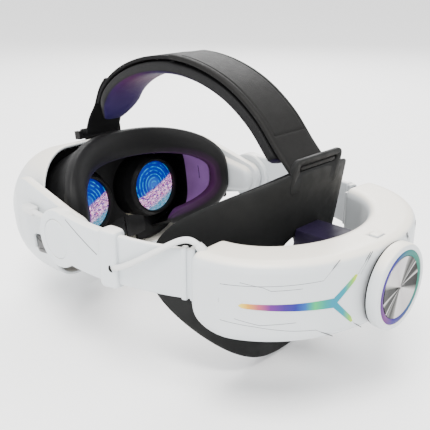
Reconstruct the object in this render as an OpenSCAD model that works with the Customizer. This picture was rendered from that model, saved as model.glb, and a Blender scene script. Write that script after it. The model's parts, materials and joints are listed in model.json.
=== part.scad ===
// Virtual reality headset with a rigid halo strap, a rear battery pack and a
// tightening knob. Millimetres. +Y is the wearer's forward, +X the wearer's
// right, +Z up. The origin is midway between the two side pivots, 4 mm ahead
// of their axis.

/* [Visor] */
// Full width of the visor shell
visor_w = 162; // [158:1:168]
// Full height of the visor shell
visor_h = 94; // [90:1:98]
// From the side pivots to the front of the visor
visor_front = 112; // [108:1:118]
// Downward pitch of the visor against the strap, in degrees
visor_pitch = 8; // [4:1:10]
// Wall of the moulded shells
wall = 2.2; // [1.8:0.1:2.6]

/* [Optics] */
// Distance between the lens centres as stored
ipd = 64; // [62:1:66]
// Visible diameter of a lens
lens_d = 39; // [36:1:40]
// Travel of each lens barrel, in and out
lens_travel = 3.4; // [2:0.1:3.4]

/* [Face interface] */
// Full width of the face cushion
face_w = 146; // [138:1:146]
// Full height of the face cushion
face_h = 85; // [82:1:88]
// How far the cushion's sides reach behind its middle
face_wrap = 42; // [36:1:42]

/* [Side arms] */
// Height of the arm's band
arm_h = 29; // [26:1:31]
// Radius of the round boss at the pivot
boss_r = 18.5; // [17:0.5:20]
// Radius of the pivot pin
pin_r = 4; // [3:0.5:5]

/* [Battery pack] */
// Half width of the pack over its outer face
pack_a = 83.4; // [82:0.2:86]
// Depth of the pack's outer curve
pack_b = 67.3; // [65:0.1:70]
// Thickness of the pack
pack_t = 27.5; // [26:0.5:29]
// Height of the pack
pack_h = 44.6; // [42:0.2:48]

/* [Knob] */
// Radius of the tightening knob
knob_r = 24; // [22:0.5:25]
// Radius of the middle of the coloured ring
ring_r = 19; // [18:0.5:20]
// Pitch radius of the knob's pinion
pinion_r = 6.4; // [6.4]

/* [Hidden] */

white = "#f0f2f4";
cream = "#f3efe6";
black = "#26272b";
soft_black = "#1d1e22";
violet = "#3a2f5c";
silver = "#c6c9cf";
green = "#2e7d4f";

// clearances
run = 0.05;    // radial, a pin turning in its bore

// visor, in its own level frame before it is pitched
shell_y0 = 20;
shell_z = -2;
shell_l = visor_front - shell_y0;
half_w = visor_w / 2;
half_h = visor_h / 2;
rim_y = 62;                 // rear rim at the middle
rim_r = 103;                // radius of the rim's curve in plan
lens_y = 47;
lens_r = lens_d / 2;
barrel_r = 25;
display_y = 84;
bulkhead_y = 63;
anchor_y = 67.6;

// side wings of the shell, which carry the pivots
wing_in = 77;
wing_out = 83;
pivot_y = -4;
jack_r = 1.77;              // bore of the audio socket
plug_y = 33;                // middle of the charging plug

// thumb wheel under the lenses
wheel_y = 74;
wheel_z = -35;
wheel_r = 15;
ipd_pitch_r = 5;

// arms
arm_in = wing_out + 0.5;
boss_out = 92;
cap_r = 12.4;
arm_z = 2;
lip_y = -106;
tongue_x = 69.7;
arm_path = [[87, 0], [93.5, -40], [89, -76], [73.2, lip_y]];

// pack
pack_y = -109.6;
pack_z = -1;
mid_a = pack_a - pack_t / 2;
mid_b = pack_b - pack_t / 2;
pack_back = pack_y - pack_b;
knob_z = -2.8;
knob_face = -184.5;
rack_y = pack_y - mid_b;

// cradle behind the head
cradle_w = 67;
cradle_h = 62.5;
cradle_z = -10.5;
cradle_hole = 0.32;         // size of its opening against its outline
cradle_wrap = 56;           // how far its sides reach forward

// top strap, outer face in the middle plane: (y, z)
strap_line = [
    [57, 60], [47, 78], [29, 92], [4, 101.5], [-24, 105], [-51, 102], [-76, 93],
    [-97, 78.5], [-113, 61], [-123, 51]
];
web_line = [[69, 40.5], [67.5, 46], [63.5, 54], [57, 62.5]];

// cable: from the visor's plug, through the arm, over a hump into the pack
cable_r = 1.7;
cable_z = 8;
cable_break = 0.35;         // half the gap between lengths that ride on different pieces
visor_cable = [[-87, 29, 8.5], [-87, 24, 8.3], [-87, 20, cable_z], [-87, 16 + cable_break, cable_z]];
arm_cable = [
    [-87, 16 - cable_break, cable_z], [-87, 2, cable_z], [-88.2, -14, 7], [-89.4, -30, 4], [-90, -44, 0],
    [-91.5, -58 + cable_break, -1.5]
];
pack_cable = [
    [-91.5, -58 - cable_break, -1.5], [-92.2, -66, 1.5], [-91, -75, 6.5], [-88, -85, 13], [-83, -95, 20],
    [-79, -101, 23.5], [-76.5, -106, 24], [-75.2, -111, 21.5], [-75, -115, 17.5]
];

cable_end = pack_cable[8] + [0, -5, -5];

// ---------------------------------------------------------------- functions

function unit(v) = v / norm(v);

// rounded rectangle, anticlockwise, k points on each corner
function rrect(w, h, r, k = 5) = [
    for (c = [0:3], i = [0:k - 1])
        let(a = 90 * c + 90 * i / (k - 1), sx = (c == 0 || c == 3) ? 1 : -1, sy = c < 2 ? 1 : -1)
        [sx * (w / 2 - r) + r * cos(a), sy * (h / 2 - r) + r * sin(a)]
];

// superellipse with half axes a and b, n points
function superoval(a, b, e, n) = [
    for (i = [0:n - 1])
        let(t = 360 * (i + 0.5) / n, c = cos(t), s = sin(t))
        [a * sign(c) * pow(abs(c), 2 / e), b * sign(s) * pow(abs(s), 2 / e)]
];

// a flat outline put on a plane through o with axes u and v
function put(o, u, v, pts) = [for (p = pts) o + p[0] * u + p[1] * v];

// point and direction of a cubic curve
function bezier(p, t) =
    pow(1 - t, 3) * p[0] + 3 * t * pow(1 - t, 2) * p[1] + 3 * t * t * (1 - t) * p[2] + pow(t, 3) * p[3];
function bezier_dir(p, t) =
    unit(pow(1 - t, 2) * (p[1] - p[0]) + 2 * t * (1 - t) * (p[2] - p[1]) + t * t * (p[3] - p[2]));

// smooth curve through points: position s runs from 0 to len(p) - 1
function spline(p, s) =
    let(
        n = len(p) - 1,
        i = max(0, min(floor(s), n - 1)),
        t = s - i,
        b = p[i], c = p[i + 1],
        a = i > 0 ? p[i - 1] : 2 * b - c,
        d = i < n - 1 ? p[i + 2] : 2 * c - b
    )
    0.5 * (2 * b + (c - a) * t + (2 * a - 5 * b + 4 * c - d) * t * t + (3 * b - a - 3 * c + d) * t * t * t);
function spline_dir(p, s) =
    let(n = len(p) - 1, e = 0.02) unit(spline(p, min(n, s + e)) - spline(p, s - e));

// superellipse fall-off, from 1 at t = 0 to 0 at t = 1
function falloff(t, e) = pow(1 - pow(t, e), 1 / e);

// ------------------------------------------------------------ shape helpers

// six times the signed volume inside a fan of each face
function fan_volume(points, faces) = sum([
    for (f = faces, i = [1:len(f) - 2]) points[f[0]] * cross(points[f[i]], points[f[i + 1]])
]);
function sum(v) = v * [for (i = v) 1];
function reversed(f) = [for (i = [len(f) - 1:-1:0]) f[i]];

// solid skin over a row of outlines with equal numbers of points
module loft(rings, closed = false) {
    m = len(rings);
    n = len(rings[0]);
    last = closed ? m - 1 : m - 2;
    sides = [
        for (j = [0:last], i = [0:n - 1])
            let(a = j * n + i, b = j * n + (i + 1) % n, k = (j + 1) % m, c = k * n + (i + 1) % n, d = k * n + i)
            each [[a, b, c], [a, c, d]]
    ];
    caps = closed ? [] : [[for (i = [n - 1:-1:0]) i], [for (i = [0:n - 1]) (m - 1) * n + i]];
    points = [for (r = rings) each r];
    faces = concat(sides, caps);
    outward = fan_volume(points, faces) < 0;
    polyhedron(points, outward ? faces : [for (f = faces) reversed(f)]);
}

// round tube along points
module tube(points, r, n = 8, steps = 3) {
    s_max = (len(points) - 1) * steps;
    rings = [
        for (j = [0:s_max])
            let(
                o = spline(points, j / steps),
                t = spline_dir(points, j / steps),
                u = unit(cross(t, [0.2, 0, 1])),
                v = cross(t, u)
            )
            [for (i = [0:n - 1]) o + r * (cos(360 * i / n) * u + sin(360 * i / n) * v)]
    ];
    loft(rings);
}

// cylinder along X from x0 to x1, centred on (y, z)
module xcyl(x0, x1, y, z, r) {
    translate([x0, y, z]) rotate([0, 90, 0]) cylinder(h = x1 - x0, r = r, $fn = 64);
}

// cylinder along Y from y0 to y1, centred on (x, z)
module ycyl(y0, y1, x, z, r) {
    translate([x, y1, z]) rotate([90, 0, 0]) cylinder(h = y1 - y0, r = r, $fn = 96);
}

// box between two corners
module block(a, b) {
    translate(a) cube(b - a);
}

module pitched() {
    rotate([-visor_pitch, 0, 0]) children();
}

// the left-hand piece, and its mirror image on the right
module both() {
    children();
    mirror([1, 0, 0]) children();
}

// ------------------------------------------------------------ visor housing

// the rounded body of the visor, grown inwards by inset
module visor_body(inset) {
    steps = 9;
    rings = [
        for (j = [0:steps])
            let(
                t = min(0.998, sin(90 * j / steps)),
                w = (half_w - inset) * falloff(t, 3),
                h = (half_h - inset) * falloff(t, 3.6),
                y = shell_y0 + (shell_l - inset) * t,
                r = 0.92 * min(w, h)
            )
            put([0, y, shell_z], [-1, 0, 0], [0, 0, 1], rrect(2 * w, 2 * h, r, 6))
    ];
    loft(rings);
}

// plan-curved cutter that leaves everything in front of the rear rim
module rim_cut(back) {
    translate([0, rim_y - rim_r - back, -80]) cylinder(h = 160, r = rim_r, $fn = 128);
}

module wing() {
    hull() {
        xcyl(-wing_out, -wing_in, -7, 2, 11.5);
        xcyl(-wing_out, -wing_in, 44, 14, 12);
        xcyl(-wing_out, -wing_in, 44, -10, 12);
    }
}

// tracking camera window on the lower corner, in the visor's level frame
module window_block(x0, x1, grow) {
    block([x0, 19 - grow, -18.5 - grow], [x1, 39 + grow, -5.5 + grow]);
}

module front_camera_place(sx) {
    translate([sx * 44, visor_front - 9, 14]) children();
}

module port_cut() {
    block([-wing_out - 1, plug_y - 4.8, 3.5], [-wing_in + 3, plug_y + 4.8, 13]);
}

module jack_bore() {
    xcyl(wing_in - 1, wing_out + 1, 48, -4, jack_r);
}

module front_shell() {
    color(white) {
        difference() {
            union() {
                pitched() difference() {
                    visor_body(0);
                    visor_body(wall);
                    rim_cut(0);
                    for (sx = [-1, 1]) front_camera_place(sx) ycyl(-8, 12, 0, 0, 6.1);
                    // thumb wheel slot, volume slot, anchor slot
                    block([-12.5, wheel_y - 2.4, -60], [12.5, wheel_y + 2.4, -35]);
                    block([9.8, 83.8, -60], [26.2, 88.2, -35]);
                    block([-12, 66, 40], [12, 69.2, 50]);
                }
                both() wing();
            }
            both() pitched() window_block(-wing_out - 2, -wing_in - 0.4, 0.1);
            for (sx = [-1, 1]) xcyl(sx > 0 ? wing_in - 1 : -wing_out - 1, sx > 0 ? wing_out + 1 : -wing_in + 1, pivot_y, 0, pin_r + 0.02);
            port_cut();
            jack_bore();
            // power button opening in the right wing
            xcyl(wing_in - 1, wing_out + 1, 26, 3, 4.1);
        }
    }
}

module bulkhead() {
    color(black) pitched() difference() {
        translate([0, bulkhead_y + 2.2, shell_z]) rotate([90, 0, 0])
            linear_extrude(2.2) polygon(rrect(146, 84, 38, 8));
        for (sx = [-1, 1], k = [-1, 1])
            ycyl(bulkhead_y - 1, bulkhead_y + 3, sx * ipd / 2 + k * (lens_travel + 0.5), 0, barrel_r + 0.6);
        block([-20, bulkhead_y - 1, -60], [20, bulkhead_y + 3, -25]);
    }
}

module camera_window(sx) {
    color("#0b0b0d") pitched() mirror([sx > 0 ? 1 : 0, 0, 0])
        window_block(-wing_out + 0.5, -wing_in - 0.5, 0);
}

module front_cameras() {
    for (sx = [-1, 1]) {
        color("#0b0b0d") pitched() front_camera_place(sx) ycyl(-5.8, 2, 0, 0, 6);
    }
}

module main_board() {
    color(green) pitched() translate([0, 97, 0]) rotate([90, 0, 0])
        linear_extrude(1.6) polygon(rrect(104, 52, 16, 5));
}

module visor_battery() {
    color("#3b4a63") pitched() block([-32, 98.4, -16], [32, 104, 16]);
}

module fan_frame() {
    color(black) pitched() translate([0, 94.4, 10]) rotate([90, 0, 0]) difference() {
        cylinder(h = 6, r = 17, $fn = 96);
        translate([0, 0, -1]) cylinder(h = 5.8, r = 15.6, $fn = 96);
        for (a = [0:90:270]) rotate(a) translate([9, -4, 4]) cube([5, 8, 3]);
    }
    color(silver) pitched() ycyl(89, 94, 0, 10, 1);
}

module fan_rotor() {
    color("#8d9096") pitched() translate([0, 94, 10]) rotate([90, 0, 0]) {
        difference() {
            cylinder(h = 4.2, r = 6, $fn = 64);
            translate([0, 0, -1]) cylinder(h = 6, r = 1 + run, $fn = 32);
        }
        for (a = [0:36:324]) rotate(a) translate([5.5, -0.4, 0.2]) cube([9.2, 0.8, 3.8]);
    }
}

module speakers() {
    color("#3f4247") both() block([-wing_in + 0.1, 7, -4], [-wing_in + 4, 19.5, 8]);
}

module power_button() {
    color(silver) {
        xcyl(wing_in - 0.6, wing_out + 0.6, 26, 3, 3.9);
        xcyl(wing_in - 2.2, wing_in - 0.6, 26, 3, 5.2);
    }
}

module volume_rocker() {
    color(silver) pitched() {
        block([10, 84, -46.2], [26, 88, -40.6]);
        block([8.5, 83.2, -40.7], [27.5, 88.8, -39.5]);
    }
}

module charge_port() {
    color(silver) difference() {
        block([-wing_out + 0.2, plug_y - 4.7, 3.6], [-wing_in + 2.8, plug_y + 4.7, 12.9]);
        block([-wing_out - 1, plug_y - 3.6, 7], [-wing_in + 1, plug_y + 3.6, 9.6]);
    }
}

module audio_jack() {
    color(silver) difference() {
        xcyl(wing_in - 5.4, wing_in - 0.1, 48, -4, 3.4);
        xcyl(wing_in - 4.6, wing_in + 1, 48, -4, jack_r);
    }
}

// loop on top of the visor for the front webbing
module strap_anchor() {
    color(black) pitched() {
        for (sx = [-1, 1]) block([sx > 0 ? 16 : -19, anchor_y - 3, 45.05], [sx > 0 ? 19 : -16, anchor_y + 3, 51]);
        block([-11.8, anchor_y - 1.4, 42.9], [11.8, anchor_y + 1.4, 46]);
        block([-19, anchor_y - 3, 45.05], [19, anchor_y + 3, 46]);
        translate([-19, anchor_y, 49.6]) rotate([0, 90, 0]) cylinder(h = 38, r = 1.4, $fn = 32);
    }
}

// ------------------------------------------------------------------- optics

module barrel(x) {
    color(soft_black) pitched() translate([x, lens_y, 0]) rotate([-90, 0, 0]) rotate_extrude($fn = 96)
        polygon([
            [lens_r, 0], [lens_r + 1.6, -0.4], [lens_r + 3.4, 2], [barrel_r, 9], [barrel_r, 36],
            [barrel_r - 2, 36], [barrel_r - 2, 12], [lens_r + 0.4, 5], [lens_r, 5]
        ]);
}

module lens(x) {
    color("#2b3a86") pitched() translate([x, lens_y, 0]) rotate([-90, 0, 0]) rotate_extrude($fn = 96)
        polygon([[0, 0.4], [9, 0.8], [15, 1.6], [lens_r - 0.05, 3], [lens_r - 0.05, 5], [0, 6]]);
}

module display(x) {
    color("#101218") pitched() block([x - 20, display_y - 0.9, -20], [x + 20, display_y + 1.1, 20]);
}

// toothed bar between a barrel and the thumb wheel's pinion
module ipd_rack(side) {
    level = side * ipd_pitch_r;
    p = 2 * PI * ipd_pitch_r / 10;
    outer = side > 0 ? -1 : 1;
    module bar() {
        block([-13, wheel_y + 3, 0.9], [13, wheel_y + 6.5, 2.8]);
        for (i = [-3:3])
            translate([i * p, wheel_y + 6.5, 0])
                rotate([90, 0, 0]) linear_extrude(3.5) polygon([[-0.8, 1.1], [-0.4, -0.75], [0.4, -0.75], [0.8, 1.1]]);
    }
    color("#d8d3c4") pitched() difference() {
        union() {
            translate([0, 0, wheel_z]) mirror([0, 0, side > 0 ? 0 : 1]) translate([0, 0, ipd_pitch_r]) bar();
            // post up to the barrel
            x0 = outer * 12;
            x1 = outer * (ipd / 2 - 6);
            z0 = wheel_z + level + side * 0.9;
            z1 = wheel_z + level + side * 2.8;
            block([min(x0, x1), wheel_y + 3, min(z0, z1)], [max(x0, x1), wheel_y + 6.5, max(z0, z1)]);
            block([x1 - 3, wheel_y + 3, min(z0, z1)], [x1 + 3, wheel_y + 6.5, -22]);
        }
        ycyl(wheel_y, wheel_y + 8, outer * ipd / 2, 0, barrel_r + 0.02);
    }
}

module ipd_wheel() {
    color(black) pitched() {
        translate([0, wheel_y + 2, wheel_z]) rotate([90, 0, 0]) difference() {
            cylinder(h = 4, r = wheel_r, $fn = 96);
            for (i = [0:35]) rotate(i * 10) translate([wheel_r, 0, -1]) cylinder(h = 6, r = 0.5, $fn = 12);
        }
        translate([0, wheel_y + 7, wheel_z]) rotate([90, 0, 0]) {
            cylinder(h = 6, r = 3.6, $fn = 48);
            for (i = [0:9]) rotate(36 * i)
                linear_extrude(4.5) polygon([[3.2, -0.7], [5.55, -0.3], [5.55, 0.3], [3.2, 0.7]]);
        }
    }
}

// ----------------------------------------------------------- face interface

face_z = 6.5;
face_half_w = face_w / 2;
face_half_h = face_h / 2;
face_mid = 37;
face_n = 40;
frame_y = bulkhead_y - 0.4;
cushion_t = 12;

function face_curve(x) = face_mid - face_wrap * pow(x / face_half_w, 2);

// outline of the carrier: s = 0 in the visor, s = 1 at the cushion
function face_ring(s, inset) =
    let(
        w = 71 + s * (face_half_w - 3.5 - 71) - inset,
        h = 39 + s * (face_half_h - 2.5 - 39) - inset,
        z = -1 + s * (face_z + 1)
    )
    [
        for (p = superoval(w, h, 2.5, face_n))
            [-p[0], frame_y + s * (face_curve(0.94 * p[0]) + cushion_t + 0.6 - frame_y), z + p[1]]
    ];

module nose_cut(w, top, floor_z = -70) {
    translate([0, 80, 0]) rotate([90, 0, 0]) linear_extrude(100)
        polygon([[-w, floor_z], [w, floor_z], [w * 0.55, top - 6], [w * 0.3, top], [-w * 0.3, top], [-w * 0.55, top - 6]]);
}

module face_frame() {
    color(soft_black) pitched() difference() {
        loft([for (s = [0, 0.35, 0.7, 1]) face_ring(s, 0)]);
        loft([for (s = [-0.1, 0.35, 0.7, 1.1]) face_ring(s, 2.4)]);
        nose_cut(24, -16);
    }
}

module face_cushion() {
    ring = superoval(1, 1, 2.5, face_n);
    rings = [
        for (p = ring)
            let(
                up = max(0, p[1]),
                width = 15 + 5.5 * up * up,
                dir = unit([p[0] * face_half_h, 0, p[1] * face_half_w]),
                edge = [p[0] * face_half_w, 0, face_z + p[1] * face_half_h],
                o = edge - dir * width / 2
            )
            put([o[0], face_curve(o[0]) + cushion_t / 2, o[2]], dir, [0, -1, 0], rrect(width, cushion_t - 0.4, 5, 4))
    ];
    color(soft_black) pitched() difference() {
        loft(rings, closed = true);
        nose_cut(22, -18);
    }
}

// two thin rubber flaps that close the gap round the nose
module nose_flaps() {
    color(black) pitched() both() hull() {
        translate([-1, face_mid + 13.4, -24]) sphere(r = 0.8, $fn = 16);
        translate([-1, face_mid + 13.4, -34]) sphere(r = 0.8, $fn = 16);
        translate([-11, face_mid + 11, -36]) sphere(r = 0.8, $fn = 16);
        translate([-8, face_mid + 13, -20]) sphere(r = 0.8, $fn = 16);
    }
}

// ---------------------------------------------------------------- side arms

arm_steps = 14;

function arm_t(j) = j / arm_steps;
function arm_thick(t) = t < 0.4 ? 6.4 : t > 0.62 ? 3.4 : 6.4 - 3 * (t - 0.4) / 0.22;
function arm_height(t) = arm_h + 3 * pow(1 - t, 2);
function arm_ring(t, dt, dh) =
    let(o = bezier(arm_path, t), d = bezier_dir(arm_path, t), th = arm_thick(t) + dt)
    put([-o[0], o[1], arm_z + 2 * t], [-d[1], -d[0], 0], [0, 0, 1],
        rrect(th, arm_height(t) + dh, min(1.6, th / 2 - 0.1), 3));

module arm_solid() {
    difference() {
        union() {
            loft([for (j = [1:arm_steps]) arm_ring(arm_t(j), 0, 0)]);
            // double lip where the band meets the pack
            loft([for (t = [0.93, 0.955]) arm_ring(t, 1.6, 1.6)]);
            loft([for (t = [0.975, 1]) arm_ring(t, 1.6, 1.6)]);
            // tongue that slides in the pack, and its root behind the lip
            block([-tongue_x - 4, lip_y + 0.5, arm_z - 8], [-tongue_x + 1, lip_y + 3.5, arm_z + 12]);
            block([-tongue_x - 1, -134, arm_z - 8], [-tongue_x + 1, lip_y + 2, arm_z + 12]);
            xcyl(-boss_out, -arm_in, pivot_y, 0, boss_r);
        }
        xcyl(-boss_out - 1, -arm_in + 1, pivot_y, 0, pin_r + run);
        xcyl(-boss_out - 1, -boss_out + 1.6, pivot_y, 0, cap_r);
    }
}

module cable_bore() {
    tube([arm_cable[0] + [0, 8, 0], arm_cable[1], arm_cable[2], arm_cable[3], arm_cable[4], arm_cable[5] - [0, 8, 0]],
        cable_r + 0.45, 12, 2);
}

module arm_left() {
    color(white) difference() {
        arm_solid();
        cable_bore();
    }
}

module arm_right() {
    color(white) mirror([1, 0, 0]) arm_solid();
}

// sleeve that clips the band to the visor's arm: one section for each corner point of the band
module collar_solid() {
    t0 = 0.43;
    t1 = 0.545;
    stations = [[t0, 0.12], [t0, 3], [t0 + 0.012, 4.6], [t1 - 0.015, 4.6], [t1, 3], [t1, 0.12], [(t0 + t1) / 2, 0.12]];
    loft([
        for (i = [0:11])
            [for (q = stations) arm_ring(q[0], q[1], q[1])[i]]
    ], closed = true);
}

module collar_left() {
    color(white) difference() {
        collar_solid();
        tube([arm_cable[3], arm_cable[4], arm_cable[5], pack_cable[1], pack_cable[2]], cable_r + 0.5, 12, 2);
    }
}

module collar_right() {
    color(white) mirror([1, 0, 0]) collar_solid();
}

module pivot_caps() {
    color(white) both() {
        xcyl(-boss_out - 0.2, -boss_out + 1.5, pivot_y, 0, cap_r - 0.1);
    }
}

module pivot_pins() {
    color(silver) both() {
        xcyl(-boss_out + 1.7, -wing_in + 1.6, pivot_y, 0, pin_r);
        xcyl(-wing_in, -wing_in + 1.6, pivot_y, 0, pin_r + 2.5);
    }
}

// flexible toothed strip from the arm's tongue to the knob's pinion
module rack(side) {
    top = pinion_r + 0.9;
    p = PI * 0.8;
    color("#d8d3c4") mirror([side > 0 ? 1 : 0, 0, 0]) translate([0, 0, knob_z]) {
        m = side > 0 ? -1 : 1;
        loft([
            for (th = [-76:6.2:-14])
                put([mid_a * sin(th), pack_y - mid_b * cos(th), m * (top + 1.8)],
                    unit([mid_b * sin(th), -mid_a * cos(th), 0]), [0, 0, 1], rrect(1.4, 3.6, 0.5, 2))
        ]);
        block([-18, rack_y - 1.2, m > 0 ? top : -top - 3.6], [16, rack_y + 1.2, m > 0 ? top + 3.6 : -top]);
        // foot on the arm's tongue
        block([-tongue_x + 1.1, -126, m > 0 ? 0 : -top - 3.6], [-tongue_x + 3, -119.5, m > 0 ? top + 3.6 : -1]);
        for (i = [-5:5])
            translate([(i + 0.5) * p, rack_y + 1.2, 0]) rotate([90, 0, 0]) linear_extrude(2.4)
                polygon([[-0.7, m * (top + 0.2)], [-0.35, m * (top - 1.5)], [0.35, m * (top - 1.5)], [0.7, m * (top + 0.2)]]);
    }
}

// ------------------------------------------------------------- battery pack

end_r = 5;
lift_r = 19;

// rounding of the pack's ends: how far its outline is drawn in at angle th
function end_inset(th) =
    let(s = (90 - abs(th)) * mid_b * PI / 180) s >= end_r ? 0 : end_r - sqrt(end_r * end_r - pow(end_r - s, 2));

// how far the lower edge is lifted towards the ends
function end_lift(th) =
    let(s = (90 - abs(th)) * mid_b * PI / 180) s >= lift_r ? 0 : lift_r - sqrt(lift_r * lift_r - pow(lift_r - s, 2));

function pack_angles(limit) =
    let(near = [0.5, 1.5, 3, 5.4, 10, 15])
    concat(
        [-limit], [for (a = near) -limit + a], [for (a = [-68:8:68]) a], [for (i = [5:-1:0]) limit - near[i]], [limit]
    );

function pack_ring(th, t0, t1, h, r, inset = 0, k = 4) =
    let(n = unit([mid_b * sin(th), -mid_a * cos(th), 0]), mid = (t0 + t1) / 2, lift = end_lift(th) * 0.8)
    put([mid_a * sin(th), pack_y - mid_b * cos(th), pack_z + lift / 2] + mid * n, n, [0, 0, 1],
        rrect(t1 - t0 - 2 * inset, h - lift - 2 * inset, max(0.4, r - inset * 0.6), k));

// strip that follows the pack's curve, between angles a0 and a1, t0 and t1
// from the middle surface, and from heights z0 to z1 at its two ends
module pack_strip(a0, a1, t0, t1, z0, z1, w0, w1, steps = 6) {
    loft([
        for (j = [0:steps])
            let(
                f = j / steps,
                th = a0 + f * (a1 - a0),
                n = unit([mid_b * sin(th), -mid_a * cos(th), 0]),
                w = w0 + f * (w1 - w0)
            )
            put([mid_a * sin(th), pack_y - mid_b * cos(th), z0 + f * (z1 - z0)], n, [0, 0, 1],
                [[t1, w / 2], [t0, w / 2], [t0, -w / 2], [t1, -w / 2]])
    ]);
}

module light_bar() {
    t = pack_t / 2;
    pack_strip(-66.4, -28.5, t - 1.2, t + 0.35, -1.3, -2.4, 2.2, 4.6, 8);
    pack_strip(-29.3, -19.4, t - 1.2, t + 0.35, -1.9, 10, 3.4, 3, 3);
    pack_strip(-29.3, -20, t - 1.2, t + 0.35, -2.9, -15.5, 3.4, 3, 3);
}

module arm_slot() {
    block([-tongue_x - 1.3, pack_y - 12, arm_z - 8.3], [-tongue_x + 1.3, pack_y + 3, arm_z + 12.3]);
}

module pack_outer_shell() {
    t = pack_t / 2;
    color(white) difference() {
        loft([for (a = pack_angles(90)) pack_ring(a, -t, t, pack_h, 6, end_inset(a), 5)]);
        loft([for (a = [-87, -84, -80, -75, for (b = [-68:8:68]) b, 75, 80, 84, 87])
            pack_ring(a, -t + wall + 0.3, t - wall, pack_h - 2 * wall, 4, 0, 3)]);
        // seat of the inner shell
        loft([for (a = [-84, -80, -75, for (b = [-68:8:68]) b, 75, 80, 84])
            pack_ring(a, -t - 1, -t + wall + 1.2, pack_h - 12, 2, 0, 2)]);
        both() arm_slot();
        both() light_bar();
        ycyl(pack_back - 1, pack_back + 6, 0, knob_z, 3 + run);
        // button opening and cable entry
        block([-1.8, -169, 15], [5.8, -163, 25]);
        tube([pack_cable[6], pack_cable[7], pack_cable[8], cable_end], cable_r + 1.45, 10, 2);
        // charging port
        block([25, -168.4, -30], [34, -160, -19]);
    }
}

module pack_inner_shell() {
    t = pack_t / 2;
    color(cream) difference() {
        loft([for (a = [-83.8, -80, -75, for (b = [-68:8:68]) b, 75, 80, 83.8])
            pack_ring(a, -t, -t + wall, pack_h - 12.4, 1.8, 0, 3)]);
        for (z = [-12, 10]) ycyl(pack_y - pack_b + pack_t - 4, pack_y - pack_b + pack_t + 4, 0, z, 1.6);
    }
}

module battery_cells() {
    color("#3b4a63") for (a = [-54, -33, 33, 54])
        let(n = unit([mid_b * sin(a), -mid_a * cos(a), 0]), th = atan2(n[1], n[0]))
        translate([mid_a * sin(a), pack_y - mid_b * cos(a), pack_z]) rotate(th)
            block([2.2, -9, -16], [8.4, 9, 16]);
}

module pack_board() {
    color(green) block([-16, rack_y + 5.2, -19], [16, rack_y + 6.8, 17]);
}

module light_bars() {
    color("#35d6ff") both() light_bar();
}

module pack_button() {
    color(silver) {
        block([-1.5, -168.7, 17.6], [5.5, -163.3, 22.4]);
        block([-3, -170, 16.6], [7, -162, 18]);
    }
}

module pack_port() {
    color(silver) difference() {
        block([25.2, -168.2, -22.6], [33.8, -160.2, -17.4]);
        block([26.4, -165.7, -24], [32.6, -162.7, -18.6]);
    }
}

// ------------------------------------------------------- cradle at the rear

function cradle_y(x, z) = -128 + cradle_wrap * pow(abs(x) / cradle_w, 4) + 0.16 * (52 - z);
function cradle_ring(s, off) =
    let(square = superoval(cradle_w * s, cradle_h * s, 2.8, 40), round = superoval(cradle_w * s, cradle_h * s, 2, 40))
    [
        for (i = [0:39])
            let(p = i < 20 ? square[i] : round[i], x = -p[0], z = cradle_z + p[1]) [x, cradle_y(x, z) + off, z]
    ];

cradle_stations = [0.5, 0.62, 0.74, 0.86, 0.93, 0.97];

module cradle_plate(stations, off0, off1) {
    loft(
        concat([for (s = stations) cradle_ring(s, off0)], [for (s = reversed(stations)) cradle_ring(s, off1)]),
        closed = true
    );
}

module cradle_shell() {
    color(soft_black) difference() {
        union() {
            cradle_plate([cradle_hole + 0.03, for (s = cradle_stations) s, 1], 0, 3);
            // tab for the top strap
            hull() for (x = [-18, 18], z = [44, 55])
                translate([x, cradle_y(x, z) + 1.5, z]) rotate([100, 0, 0])
                    cylinder(h = 2.8, r = 4, center = true, $fn = 32);
        }
        translate([0, -127, 53.5]) rotate([100, 0, 0]) linear_extrude(12, center = true) square([34, 4.4], center = true);
    }
}

module cradle_pad() {
    color(violet) cradle_plate([cradle_hole, for (s = cradle_stations) s], 3.9, 12);
}

// block that carries the cradle on the pack's inner shell
module cradle_bracket() {
    back = pack_y - pack_b + pack_t + 1.4;
    front = function(z) cradle_y(0, z) - 0.1;
    color(violet) translate([-11, 0, 0]) rotate([90, 0, 90]) linear_extrude(22)
        polygon([[back, -19], [back, 16], [front(16), 16], [front(-34), -34], [front(-34) - 8, -34], [back + 12, -19]]);
}

// --------------------------------------------------------------------- knob

module knob_body() {
    color(white) difference() {
        union() {
            ycyl(knob_face, pack_back - 0.7, 0, knob_z, knob_r);
            ycyl(pack_back - 0.71, pack_back - 0.3, 0, knob_z, knob_r - 1.5);
        }
        ycyl(knob_face - 1, knob_face + 2.2, 0, knob_z, ring_r + 1.6);
        ycyl(knob_face, pack_back + 1, 0, knob_z, 3.5);
        for (i = [0:59]) translate([0, 0, knob_z]) rotate([0, 6 * i, 0])
            translate([knob_r + 0.35, (knob_face + pack_back) / 2 + 0.5, 0]) cube([1, 5, 0.9], center = true);
    }
}

module knob_light_ring() {
    color("#7a5cff") difference() {
        ycyl(knob_face + 0.3, knob_face + 2.1, 0, knob_z, ring_r + 1.5);
        ycyl(knob_face, knob_face + 3, 0, knob_z, ring_r - 1.5);
    }
}

module knob_cap() {
    color(silver) translate([0, 0, knob_z]) rotate([90, 0, 0]) translate([0, 0, -knob_face - 2.1])
        rotate_extrude($fn = 96)
            polygon([[0, 0], [ring_r - 1.6, 0], [ring_r - 1.6, 1.6], [ring_r - 2.4, 2.2], [4, 1.5], [3.2, 2.2], [0, 2.2]]);
}

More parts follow.
